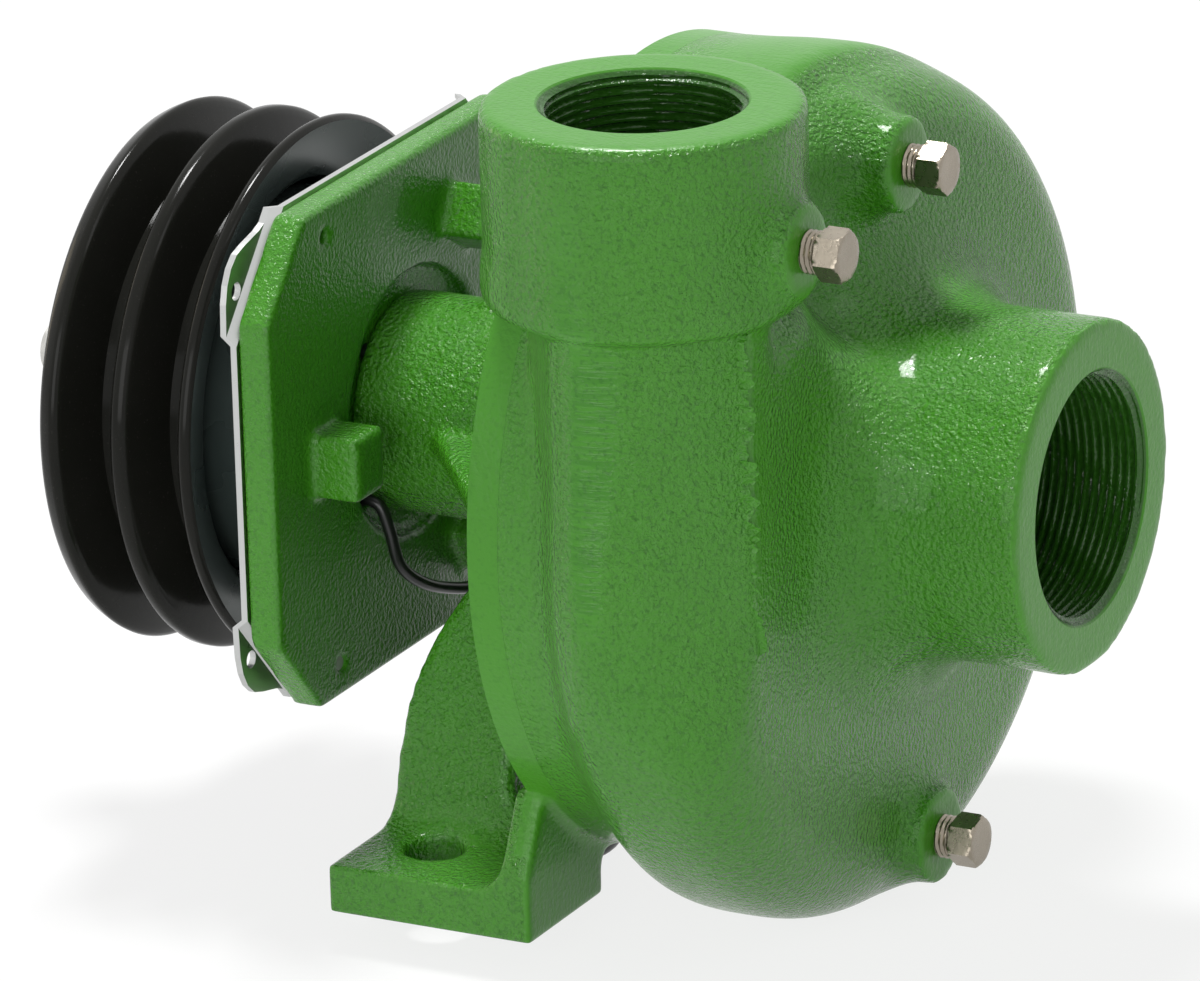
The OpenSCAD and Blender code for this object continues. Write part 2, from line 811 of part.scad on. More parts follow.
// Coil spring between the seal ring and the impeller
module seal_spring() {
    x0 = ring_front + spring_wire;
    x1 = impeller_back - spring_wire;
    sides = 6;
    points = [for (i = [0:spring_rings], j = [0:sides - 1])
        let (t = i / spring_rings,
             a = 360 * spring_turns * t,
             b = 360 * j / sides,
             r = spring_r + spring_wire * cos(b))
        [r * cos(a), r * sin(a), x0 + (x1 - x0) * t + spring_wire * sin(b)]];
    faces = concat(
        [[for (j = [sides - 1:-1:0]) j]],
        [[for (j = [0:sides - 1]) spring_rings * sides + j]],
        [for (i = [0:spring_rings - 1], j = [0:sides - 1])
            let (a = i * sides + j,
                 b = i * sides + (j + 1) % sides)
            each [[a, b, b + sides], [a, b + sides, a + sides]]]);
    color(steel)
        on_shaft(0)
            polyhedron(points, faces);
}

slinger_x0 = -22;
slinger_len = 7;
slinger_sleeve_r = 11;
slinger_disc_r = 15.4;
slinger_disc_t = 2;

module slinger() {
    mid = slinger_x0 + slinger_len / 2;
    color(black) {
        disc(slinger_x0, slinger_x0 + slinger_len, slinger_sleeve_r, shaft_r);
        disc(mid - slinger_disc_t / 2, mid + slinger_disc_t / 2, slinger_disc_r, slinger_sleeve_r - 1);
    }
}

// Bearings

ball_pitch_r = (shaft_r + bearing_r) / 2;
inner_ring_r = ball_pitch_r - 2.1;
outer_ring_r = ball_pitch_r + 2.1;
cage_t = 1.6;

// One ring of a ball bearing, its race cut by the balls' own path
module bearing_ring(x, w, r_in, r_out, pitch, ball) {
    color(steel)
        on_shaft(x)
            rotate_extrude()
                difference() {
                    translate([r_in, 0])
                        square([r_out - r_in, w]);
                    translate([pitch, w / 2])
                        circle(r = ball + run_gap, $fn = 36);
                }
}

// The balls with the cage that joins them
module bearing_balls(x, w, pitch, ball, count) {
    color(dark_steel)
        on_shaft(x + w / 2) {
            for (i = [0:count - 1])
                rotate([0, 0, i * 360 / count])
                    translate([pitch, 0, 0])
                        sphere(r = ball, $fn = 24);
            translate([0, 0, -cage_t / 2])
                difference() {
                    cylinder(r = pitch + 0.9, h = cage_t);
                    translate([0, 0, -1])
                        cylinder(r = pitch - 0.9, h = cage_t + 2);
                }
        }
}

module front_bearing_outer() bearing_ring(front_bearing_x, bearing_w, outer_ring_r, bearing_r, ball_pitch_r, ball_r);
module front_bearing_inner() bearing_ring(front_bearing_x, bearing_w, shaft_r, inner_ring_r, ball_pitch_r, ball_r);
module front_bearing_balls() bearing_balls(front_bearing_x, bearing_w, ball_pitch_r, ball_r, ball_count);
module rear_bearing_outer() bearing_ring(rear_bearing_x, bearing_w, outer_ring_r, bearing_r, ball_pitch_r, ball_r);
module rear_bearing_inner() bearing_ring(rear_bearing_x, bearing_w, shaft_r, inner_ring_r, ball_pitch_r, ball_r);
module rear_bearing_balls() bearing_balls(rear_bearing_x, bearing_w, ball_pitch_r, ball_r, ball_count);

module bearing_spacer() {
    color(dark_steel)
        disc(rear_bearing_x + bearing_w, front_bearing_x, bearing_r, bearing_r - 3);
}

// Clutch plate

plate_screw_r = 2;
plate_screw_at = 23.4;
recess_depth = 4;
nose_bore_r = 10.5;
wire_r = 1.5;
wire_hole_at = 29.7;
wire_hole_angle = 217;
lug_angles = [60, 180, 300];

module plate_screw_circle() {
    for (i = [0:3])
        at_angle(45 + i * 90)
            translate([plate_screw_at, 0, 0])
                children();
}

// Outline of the plate as [y, z]
module plate_outline(cut_w, cut_h) {
    hw = plate_w / 2;
    hh = plate_h / 2;
    polygon([[-hw, -hh + cut_h], [-hw + cut_w, -hh], [hw - cut_w, -hh], [hw, -hh + cut_h],
        [hw, hh - cut_h], [hw - cut_w, hh], [-hw + cut_w, hh], [-hw, hh - cut_h]]);
}

module flat_on_shaft(x0, x1) {
    translate([joint_x + x0, 0, shaft_height])
        rotate([90, 0, 90])
            linear_extrude(x1 - x0)
                children();
}

nose_end = -pulley_front - pulley_w + 12;

module clutch_plate() {
    color(cast_green)
        difference() {
            union() {
                flat_on_shaft(-plate_back, -plate_front)
                    plate_outline(corner_w, corner_h);
                // radial lugs that stiffen the plate
                for (a = lug_angles)
                    on_shaft(-plate_front - 1)
                        at_angle(a)
                            translate([lug_in, -lug_w / 2, 0])
                                cube([lug_out - lug_in, lug_w, lug_h + 1]);
                // spigot that holds the rear bearing
                disc(-plate_front - recess_depth - 1, rear_bearing_x - 0.1, bearing_r - run_gap);
                disc(nose_end, -plate_back + 1, nose_r);
            }
            on_shaft(-plate_front - recess_depth)
                difference() {
                    cylinder(r = recess_r, h = recess_depth + 1);
                    cylinder(r = bearing_r - run_gap, h = recess_depth + 2);
                }
            disc(nose_end - 1, rear_bearing_x + 1, nose_bore_r);
            on_shaft(-plate_back - 1)
                plate_screw_circle() {
                    cylinder(r = plate_screw_r + 0.1, h = 10, $fn = 24);
                    cylinder(r = plate_screw_head_r + 0.1, h = 3.4, $fn = 24);
                }
            for (sy = [-1, 1], sz = [-1, 1])
                at_yz(-plate_back - 1, sy * corner_hole_y, sz * corner_hole_z)
                    cylinder(r = corner_hole_r, h = plate_t + 2, $fn = 24);
            on_shaft(-plate_back - 1)
                at_angle(wire_hole_angle)
                    translate([wire_hole_at, 0, 0])
                        cylinder(r = grommet_r, h = plate_t + 2, $fn = 24);
            // snap ring groove near the end of the nose
            disc(nose_end + 2, nose_end + 3.6, nose_r + 1, nose_r - 1);
        }
}

corner_hole_r = 1.9;
corner_hole_y = plate_w / 2 - corner_hole_in;
corner_hole_z = plate_h / 2 - corner_hole_down;
plate_screw_head_r = 3;
grommet_r = 2.9;

module plate_screws() {
    color(dark_steel)
        on_shaft(-plate_back)
            plate_screw_circle() {
                cylinder(r = plate_screw_head_r, h = 2.4, $fn = 24);
                cylinder(r = plate_screw_r, h = plate_t + 6, $fn = 24);
            }
}

// Coil sheet and coil

sheet_hole_r = 24.5;
ear_hole_r = 2.2;
ear_bend = 6;
ear_flat = 3.8;
ear_bend_w = corner_w + ear_bend;
ear_bend_h = corner_h + ear_bend;
ear_flat_w = corner_w + ear_flat;
ear_flat_h = corner_h + ear_flat;

// Strip of the corner along the line that cuts off w and h, as [y, z]
module corner_line(w, h, t) {
    hw = plate_w / 2;
    hh = plate_h / 2;
    polygon([[hw - w, hh], [hw, hh - h], [hw - t, hh - h], [hw - w, hh - t]]);
}

// Corner of the sheet, bent back from the plate and rounded
module sheet_ear() {
    hw = plate_w / 2;
    hh = plate_h / 2;
    back = -plate_back - sheet_t - ear_step;
    flat_on_shaft(back, back + sheet_t)
        difference() {
            polygon([[hw - ear_flat_w, hh - 2], [hw - 17, hh - 4.2], [hw - 10.5, hh - 5.6],
                [hw - 6.5, hh - 6.8], [hw - 3.5, hh - 9.4], [hw - 1.5, hh - 13], [hw - 0.4, hh - 17.5],
                [hw, hh - ear_flat_h]]);
            translate([hw - 5.5, hh - 15.5])
                circle(r = ear_hole_r, $fn = 24);
        }
    hull() {
        flat_on_shaft(back, back + sheet_t)
            corner_line(ear_flat_w, ear_flat_h, 1);
        flat_on_shaft(-plate_back - sheet_t, -plate_back)
            corner_line(ear_bend_w, ear_bend_h, 1);
    }
}

module coil_sheet() {
    color(zinc)
        difference() {
            union() {
                flat_on_shaft(-plate_back - sheet_t, -plate_back)
                    plate_outline(ear_bend_w, ear_bend_h);
                for (sy = [0, 1], sz = [0, 1])
                    translate([0, 0, sz * 2 * shaft_height])
                        mirror([0, 0, sz])
                            mirror([0, sy, 0])
                                sheet_ear();
            }
            disc(-plate_back - sheet_t - 1, -plate_back + 1, sheet_hole_r);
            for (sy = [-1, 1], sz = [-1, 1])
                at_yz(-plate_back - sheet_t - 1, sy * corner_hole_y, sz * corner_hole_z)
                    cylinder(r = corner_hole_r, h = sheet_t + 2, $fn = 24);
            on_shaft(-plate_back - sheet_t - 1)
                at_angle(wire_hole_angle)
                    translate([wire_hole_at, 0, 0])
                        cylinder(r = grommet_r, h = sheet_t + 2, $fn = 24);
        }
}

module sheet_screws() {
    color(steel)
        for (sy = [-1, 1], sz = [-1, 1])
            at_yz(-plate_back - sheet_t, sy * corner_hole_y, sz * corner_hole_z) {
                translate([0, 0, -2.2])
                    cylinder(r = 3.4, h = 2.2, $fn = 24);
                cylinder(r = corner_hole_r, h = sheet_t + plate_t - (sz > 0 ? 4 : 0.8), $fn = 24);
            }
}

coil_in = 34;
coil_out = 48;
coil_len = 50;
coil_wall = 2.5;
coil_back = -plate_back - sheet_t;

module coil_housing() {
    color(dark_steel)
        turned([[coil_in, coil_back], [coil_out, coil_back], [coil_out, coil_back - coil_len],
            [coil_out - coil_wall, coil_back - coil_len], [coil_out - coil_wall, coil_back - coil_wall],
            [coil_in + coil_wall, coil_back - coil_wall], [coil_in + coil_wall, coil_back - coil_len],
            [coil_in, coil_back - coil_len]]);
}

module coil_winding() {
    color([0.45, 0.22, 0.10])
        disc(coil_back - coil_len + 1.5, coil_back - coil_wall, coil_out - coil_wall, coil_in + coil_wall);
}

// Pulley

friction_t = 5;
pulley_bore_r = 26;
pulley_hub_r = 31.5;
pulley_wall = 2.5;
pulley_bearing_w = 18;
pulley_bearing_x = nose_end + 4.2;

module pulley() {
    x1 = -pulley_front;
    in_r = pulley_r - groove_depth - 1.5;
    color(black)
        difference() {
            turned(concat(
                [[pulley_bore_r, pulley_back], [pulley_r - 1, pulley_back], [pulley_r, pulley_back + 1]],
                [for (i = [1:-1:0])
                    let (a = x1 - i * groove_pitch - rim_t)
                    each [[pulley_r, a - groove_pitch + rim_t], [pulley_r - groove_depth, a - groove_pitch + rim_t + 5.4],
                        [pulley_r - groove_depth, a - 5.4], [pulley_r, a]]],
                [[pulley_r, x1 - 1], [pulley_r - 1, x1],
                 [in_r + 4, x1 - 2.5], [in_r, x1 - 6],
                 [in_r, pulley_back + friction_t], [pulley_hub_r, pulley_back + friction_t],
                 [pulley_hub_r, pulley_bearing_x + pulley_bearing_w + 2],
                 [pulley_bore_r, pulley_bearing_x + pulley_bearing_w + 2]]));
            // slots that break the magnetic path in the friction face
            for (i = [0:5])
                on_shaft(pulley_back - 1)
                    at_angle(i * 60)
                        rotate_extrude(angle = 42)
                            translate([41.5, 0])
                                square([2, friction_t + 2]);
            disc(pulley_bearing_x - 2.2, pulley_bearing_x - 0.6, pulley_bore_r + 1, pulley_bore_r - 1);
        }
}

pulley_ball_pitch = (nose_r + pulley_bore_r) / 2;
pulley_ball_r = 2.6;
pulley_ring_gap = 1.5;

module pulley_bearing_outer() {
    bearing_ring(pulley_bearing_x, pulley_bearing_w, pulley_ball_pitch + pulley_ring_gap, pulley_bore_r,
        pulley_ball_pitch, pulley_ball_r);
}

module pulley_bearing_inner() {
    bearing_ring(pulley_bearing_x, pulley_bearing_w, nose_r, pulley_ball_pitch - pulley_ring_gap,
        pulley_ball_pitch, pulley_ball_r);
}

module pulley_bearing_balls() {
    bearing_balls(pulley_bearing_x, pulley_bearing_w, pulley_ball_pitch, pulley_ball_r, 16);
}

// Open ring that springs into a groove
module snap_ring(x, r_in, r_out, t) {
    color(dark_steel)
        on_shaft(x)
            rotate([0, 0, 20])
                rotate_extrude(angle = 320)
                    translate([r_in, 0])
                        square([r_out - r_in, t]);
}

module pulley_snap_ring() {
    snap_ring(pulley_bearing_x - 2.1, pulley_bore_r - 1.6, pulley_bore_r + 0.9, 1.4);
}

module nose_snap_ring() {
    snap_ring(nose_end + 2.1, nose_r - 0.9, nose_r + 1.6, 1.4);
}

// Armature and hub

armature_r = 52;
armature_in = 30;
armature_t = 5;
armature_x1 = pulley_back - clutch_gap;
armature_x0 = armature_x1 - armature_t;
spring_t = 0.6;
hub_r = 14;
hub_flange_r = 26;
hub_flange_t = 4;
hub_key_w = 5;
hub_key_h = 2.2;
rivet_r = 2.2;
rivet_out_at = 41;
rivet_in_at = 21.5;
rivet_angles = [0, 120, 240];
rivet_turn = 34;

module armature_plate() {
    color(dark_steel)
        difference() {
            disc(armature_x0, armature_x1, armature_r, armature_in);
            on_shaft(armature_x0 - 1)
                for (a = rivet_angles)
                    at_angle(a + rivet_turn)
                        translate([rivet_out_at, 0, 0])
                            cylinder(r = rivet_r, h = armature_t + 2, $fn = 24);
            for (i = [0:2])
                on_shaft(armature_x0 - 1)
                    at_angle(i * 120 + 50)
                        rotate_extrude(angle = 50)
                            translate([46, 0])
                                square([2, armature_t + 2]);
        }
}

module armature_rivets() {
    color(steel)
        on_shaft(armature_x0)
            for (a = rivet_angles)
                at_angle(a + rivet_turn)
                    translate([rivet_out_at, 0, 0]) {
                        cylinder(r = rivet_r, h = armature_t - 0.4, $fn = 24);
                        translate([0, 0, -spring_t - 1.6])
                            cylinder(r = rivet_r + 1.4, h = 1.6, $fn = 24);
                        translate([0, 0, -spring_t])
                            cylinder(r = rivet_r, h = spring_t, $fn = 24);
                    }
}

// Three flat springs between the hub flange and the armature
module leaf_springs() {
    color(steel)
        on_shaft(armature_x0 - spring_t)
            for (a = rivet_angles)
                difference() {
                    hull() {
                        at_angle(a + rivet_turn)
                            translate([rivet_out_at, 0, 0])
                                cylinder(r = 6, h = spring_t, $fn = 32);
                        at_angle(a - rivet_turn)
                            translate([rivet_in_at, 0, 0])
                                cylinder(r = 4.4, h = spring_t, $fn = 32);
                    }
                    at_angle(a + rivet_turn)
                        translate([rivet_out_at, 0, -1])
                            cylinder(r = rivet_r, h = spring_t + 2, $fn = 24);
                    at_angle(a - rivet_turn)
                        translate([rivet_in_at, 0, -1])
                            cylinder(r = rivet_r + run_gap, h = spring_t + 2, $fn = 24);
                }
}

module armature_hub() {
    color(dark_steel)
        difference() {
            union() {
                disc(hub_x0, hub_x1, hub_r);
                disc(armature_x0 - spring_t - hub_flange_t, armature_x0 - spring_t, hub_flange_r);
            }
            disc(hub_x0 - 1, hub_x1 + 1, shaft_r);
            key_slot(hub_x0 - 1, hub_x1 + 1, shaft_r, hub_key_w, hub_key_h);
            on_shaft(armature_x0 - spring_t - hub_flange_t - 1)
                for (a = rivet_angles)
                    at_angle(a - rivet_turn)
                        translate([rivet_in_at, 0, 0])
                            cylinder(r = rivet_r, h = hub_flange_t + 2, $fn = 24);
        }
}

// Rivets that guide the inner ends of the springs
module hub_rivets() {
    color(steel)
        on_shaft(armature_x0 - spring_t - hub_flange_t)
            for (a = rivet_angles)
                at_angle(a - rivet_turn)
                    translate([rivet_in_at, 0, 0]) {
                        cylinder(r = rivet_r, h = hub_flange_t + spring_t, $fn = 24);
                        translate([0, 0, -1.6])
                            cylinder(r = rivet_r + 1.2, h = 1.6, $fn = 24);
                    }
}

module hub_key() {
    color(steel)
        key_slot(hub_x0 + 2, hub_x1 - 3, shaft_r, hub_key_w - 0.04, hub_key_h - 0.02);
}

module hub_washer() {
    color(steel)
        disc(hub_x0 - hub_washer_t, hub_x0, hub_washer_r, shaft_thread_r + 0.1);
}

module hub_nut() {
    color(steel)
        difference() {
            on_shaft(hub_x0 - hub_washer_t - hub_nut_h)
                intersection() {
                    cylinder(r = 10.4, h = hub_nut_h, $fn = 6);
                    cylinder(r1 = 9.6, r2 = 18, h = hub_nut_h);
                }
            disc(hub_x0 - hub_washer_t - hub_nut_h - 1, hub_x0, shaft_thread_r);
        }
}

// Lead

module lead_grommet() {
    color(black)
        on_shaft(-plate_back - sheet_t - 0.8)
            at_angle(wire_hole_angle)
                translate([wire_hole_at, 0, 0])
                    difference() {
                        union() {
                            cylinder(r = grommet_r, h = plate_t + sheet_t - recess_depth + 1.6, $fn = 24);
                            cylinder(r = grommet_r + 0.9, h = 0.8, $fn = 24);
                        }
                        translate([0, 0, -1])
                            cylinder(r = wire_r, h = plate_t + sheet_t + 4, $fn = 24);
                    }
}

grommet_y = wire_hole_at * cos(wire_hole_angle);
grommet_z = shaft_height + wire_hole_at * sin(wire_hole_angle);
grommet_front = joint_x - plate_front - recess_depth + 0.8;

// Route of the lead from the grommet, under the tube and down behind the pedestal
lead_points = [
    [grommet_front, grommet_y, grommet_z],
    [grommet_front + 5, grommet_y, grommet_z - 1],
    [-30, -23, 76], [-29, -20, 66], [-27, -12, 59], [-25, 0, 54], [-22, 14, 50], [-16, 22, 40],
    [-10, 24, 24], [-2, 23, 8], [6, 17, -4], [13, 7, -6.9], [13, -6, -6.9], [3, -14, -6.9],
    [-10, -12, -6.9], [-17, -2, -6.9], [-14, 8, -6.9], [-7, 11.5, -6.5], [-2, 7, -5.6]];
lead_sides = 8;
lead_cuts = 4;

// Smooth curve through the route's points
function blend(a, b, c, d, t) =
    0.5 * ((2 * b) + (c - a) * t + (2 * a - 5 * b + 4 * c - d) * t * t
        + (3 * b - a - 3 * c + d) * t * t * t);
function lead_at(i, t) =
    let (last = len(lead_points) - 1)
    blend(lead_points[max(i - 1, 0)], lead_points[i], lead_points[i + 1],
        lead_points[min(i + 2, last)], t);
lead_path = concat(
    [for (i = [0:len(lead_points) - 2], k = [0:lead_cuts - 1]) lead_at(i, k / lead_cuts)],
    [lead_points[len(lead_points) - 1]]);

function unit(v) = v / norm(v);
// Direction of the path at ring i
function heading(i) =
    i == 0 ? [1, 0, 0]
           : unit(lead_path[min(i + 1, len(lead_path) - 1)] - lead_path[i - 1]);
// Sideways direction carried along the path without twist
function carry(i, side) =
    let (h = heading(i))
    unit(side - (side * h) * h);
function sides_to(i, side) =
    i >= len(lead_path) ? []
        : let (s = carry(i, side)) concat([s], sides_to(i + 1, s));

module lead_wire() {
    side_list = sides_to(0, [0, 1, 0]);
    rings = len(lead_path);
    points = [for (i = [0:rings - 1], j = [0:lead_sides - 1])
        let (s = side_list[i],
             u = cross(heading(i), s),
             b = 360 * j / lead_sides)
        lead_path[i] + (wire_r - 0.02) * (cos(b) * s + sin(b) * u)];
    faces = concat(
        [[for (j = [0:lead_sides - 1]) j]],
        [[for (j = [lead_sides - 1:-1:0]) (rings - 1) * lead_sides + j]],
        [for (i = [0:rings - 2], j = [0:lead_sides - 1])
            let (a = i * lead_sides + j,
                 b = i * lead_sides + (j + 1) % lead_sides)
            each [[a, b + lead_sides, b], [a, a + lead_sides, b + lead_sides]]]);
    color(black)
        polyhedron(points, faces);
}

connector_len = 12;
connector_r = 2.8;

module lead_connector() {
    last = lead_points[len(lead_points) - 1];
    way = heading(len(lead_path) - 1);
    color([0.15, 0.15, 0.6])
        translate(last)
            rotate([90, 0, atan2(way[1], way[0]) + 90])
                cylinder(r = connector_r, h = connector_len, $fn = 24);
}

volute_casing();
wear_ring();
bearing_frame();
frame_bolts();
casing_o_ring();
gauge_plug();
prime_plug();
drain_plug();
impeller();
impeller_key();
impeller_washer();
impeller_nut();
shaft();
seal_cup();
seal_seat();
seal_ring();
seal_spring();
slinger();
front_bearing_outer();
front_bearing_inner();
front_bearing_balls();
rear_bearing_outer();
rear_bearing_inner();
rear_bearing_balls();
bearing_spacer();
clutch_plate();
plate_screws();
coil_sheet();
sheet_screws();
coil_housing();
coil_winding();
pulley();
pulley_bearing_outer();
pulley_bearing_inner();
pulley_bearing_balls();
pulley_snap_ring();
nose_snap_ring();
armature_plate();
armature_rivets();
leaf_springs();
armature_hub();
hub_key();
hub_rivets();
hub_washer();
hub_nut();
lead_grommet();
lead_wire();
lead_connector();
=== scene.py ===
# Centrifugal pump with a clutch pulley. The castings, pulley, plugs and lead are drawn here over the packed
# solids, and every other piece keeps its solid and gets a material. Sizes are in mm, and places are along the
# shaft from the joint of casing and frame, across, and above the shaft, unless a comment says otherwise.
import json
import math

import bmesh
import bpy
import numpy as np
from mathutils import Matrix, Vector, noise


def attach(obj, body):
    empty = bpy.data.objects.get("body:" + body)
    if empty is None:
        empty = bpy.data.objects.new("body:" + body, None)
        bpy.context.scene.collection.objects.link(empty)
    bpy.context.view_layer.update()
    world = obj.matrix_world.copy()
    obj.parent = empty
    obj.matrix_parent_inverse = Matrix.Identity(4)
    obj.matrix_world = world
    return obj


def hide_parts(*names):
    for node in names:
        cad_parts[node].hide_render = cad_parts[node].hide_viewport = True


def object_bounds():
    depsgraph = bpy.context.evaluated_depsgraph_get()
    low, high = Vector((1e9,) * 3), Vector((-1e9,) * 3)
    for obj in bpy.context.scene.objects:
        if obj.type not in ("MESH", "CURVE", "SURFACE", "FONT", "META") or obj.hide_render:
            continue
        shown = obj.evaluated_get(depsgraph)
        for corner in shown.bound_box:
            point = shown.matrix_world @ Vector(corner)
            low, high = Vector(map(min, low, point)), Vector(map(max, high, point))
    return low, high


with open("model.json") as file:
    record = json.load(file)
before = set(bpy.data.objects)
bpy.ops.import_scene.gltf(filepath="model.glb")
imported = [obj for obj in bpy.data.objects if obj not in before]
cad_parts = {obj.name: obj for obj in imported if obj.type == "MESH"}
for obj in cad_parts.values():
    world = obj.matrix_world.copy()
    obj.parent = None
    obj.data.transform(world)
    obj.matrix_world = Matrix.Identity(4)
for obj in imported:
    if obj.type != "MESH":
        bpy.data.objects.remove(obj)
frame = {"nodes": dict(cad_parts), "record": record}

CAD_BOX = [list(v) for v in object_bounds()]
MM = 0.001
JOINT_X, SHAFT_Z = 40.0, 101.0  # where the joint face and the shaft lie in the frame
NODES = frame["nodes"]


# ---------------------------------------------------------------- camera
CAMERA_RIGHT = Vector((0.88548, 0.46379, -0.02899))
CAMERA_UP = Vector((-0.13062, 0.30828, 0.94230))
CAMERA_AT = Vector((1.2968, -2.3868, 1.0431))
LENS, SENSOR = 360.0, 36.0
CLIP_END = 20.0


def set_camera():
    data = bpy.data.cameras.new("camera")
    data.lens = LENS
    data.sensor_width = SENSOR
    data.sensor_fit = 'HORIZONTAL'
    data.clip_end = CLIP_END
    cam = bpy.data.objects.new("camera", data)
    bpy.context.scene.collection.objects.link(cam)
    turn = Matrix((CAMERA_RIGHT, CAMERA_UP, CAMERA_RIGHT.cross(CAMERA_UP))).transposed().to_4x4()
    turn.translation = CAMERA_AT
    cam.matrix_world = turn
    bpy.context.scene.camera = cam


set_camera()


# ---------------------------------------------------------------- nodes for materials
class Nodes:
    """The node tree of a material or of the world, with a short call for each kind of node."""

    def __init__(self, name, world=False):
        self.mat = (bpy.data.worlds if world else bpy.data.materials).new(name)
        self.mat.use_nodes = True
        self.tree = self.mat.node_tree
        self.tree.nodes.clear()
        self.out = self.tree.nodes.new("ShaderNodeOutputWorld" if world else "ShaderNodeOutputMaterial")
        if world:
            bpy.context.scene.world = self.mat

    def add(self, kind, inputs=None, **props):
        node = self.tree.nodes.new(kind)
        for key, value in props.items():
            setattr(node, key, value)
        for key, value in (inputs or {}).items():
            self.feed(node, key, value)
        return node

    def feed(self, node, key, value):
        if isinstance(value, bpy.types.NodeSocket):
            self.tree.links.new(value, node.inputs[key])
        else:
            node.inputs[key].default_value = value

    def place(self, scale=(1, 1, 1), turn=0.0):
        """Object coordinates, turned by degrees about the vertical and then stretched."""
        coord = self.add("ShaderNodeTexCoord")
        turned = self.add("ShaderNodeMapping", {"Vector": coord.outputs["Object"],
                                                "Rotation": (0.0, 0.0, math.radians(turn))})
        mapping = self.add("ShaderNodeMapping", {"Vector": turned.outputs["Vector"], "Scale": scale})
        return mapping.outputs["Vector"]

    def noise(self, vector, scale, detail=2.0, rough=0.5):
        return self.add("ShaderNodeTexNoise", {"Vector": vector, "Scale": scale, "Detail": detail,
                                               "Roughness": rough}).outputs["Fac"]

    def ramp(self, fac, stops):
        """Grey levels at the given places."""
        node = self.add("ShaderNodeValToRGB", {"Fac": fac})
        while len(node.color_ramp.elements) < len(stops):
            node.color_ramp.elements.new(0.5)
        for element, (at, level) in zip(node.color_ramp.elements, stops):
            element.position = at
            element.color = (level, level, level, 1)
        return node.outputs["Color"]

    def scale(self, value, low, high):
        node = self.add("ShaderNodeMapRange", {"Value": value, "To Min": low, "To Max": high})
        return node.outputs["Result"]

    def math(self, op, a, b=0.0):
        return self.add("ShaderNodeMath", {0: a, 1: b}, operation=op).outputs[0]

    def product(self, a, b):
        return self.math('MULTIPLY', a, b)

    def mix(self, fac, a, b):
        """Blend of two colours, each a socket or three numbers."""
        node = self.add("ShaderNodeMix", data_type='RGBA')
        self.feed(node, 0, fac)
        for slot, color in ((6, a), (7, b)):
            self.feed(node, slot, (*color, 1) if isinstance(color, tuple) else color)
        return node.outputs[2]

    def bump(self, height, strength, distance, normal=None):
        inputs = {"Height": height, "Strength": strength, "Distance": distance}
        if normal is not None:
            inputs["Normal"] = normal
        return self.add("ShaderNodeBump", inputs).outputs["Normal"]

    def mask(self, name):
        return self.add("ShaderNodeAttribute", attribute_name=name).outputs["Fac"]

    def seen(self):
        """1 for rays from the camera, from a reflection or through glass."""
        path = self.add("ShaderNodeLightPath").outputs
        return self.math('MAXIMUM', self.math('MAXIMUM', path["Is Camera Ray"], path["Is Glossy Ray"]),
                         path["Is Transmission Ray"])

    def finish(self, **inputs):
        """Joins a shader with these inputs to the output."""
        shader = self.add("ShaderNodeBsdfPrincipled")
        for key, value in inputs.items():
            self.feed(shader, key.replace("_", " "), value)
        self.tree.links.new(shader.outputs[0], self.out.inputs["Surface"])
        return self.mat


GREEN_DEEP, GREEN_PALE = (0.043, 0.222, 0.0085), (0.060, 0.260, 0.015)
GREEN_GROUND, GREEN_PIT = (0.054, 0.246, 0.012), (0.014, 0.105, 0.004)
GREEN_MARK, GREEN_SHADE = (0.018, 0.130, 0.006), (0.014, 0.060, 0.008)
BLACK_DEEP, BLACK_PALE, BLACK_DUST = (0.0075, 0.0078, 0.0062), (0.0130, 0.0132, 0.0110), (0.05, 0.045, 0.04)
# teal tones for a painted reflection on the dark steel behind the pulley
REFLECTION_TEAL_DEEP, REFLECTION_TEAL_PALE = (0.040, 0.056, 0.052), (0.070, 0.090, 0.084)
FINE_BUMP = 0.0003  # metres


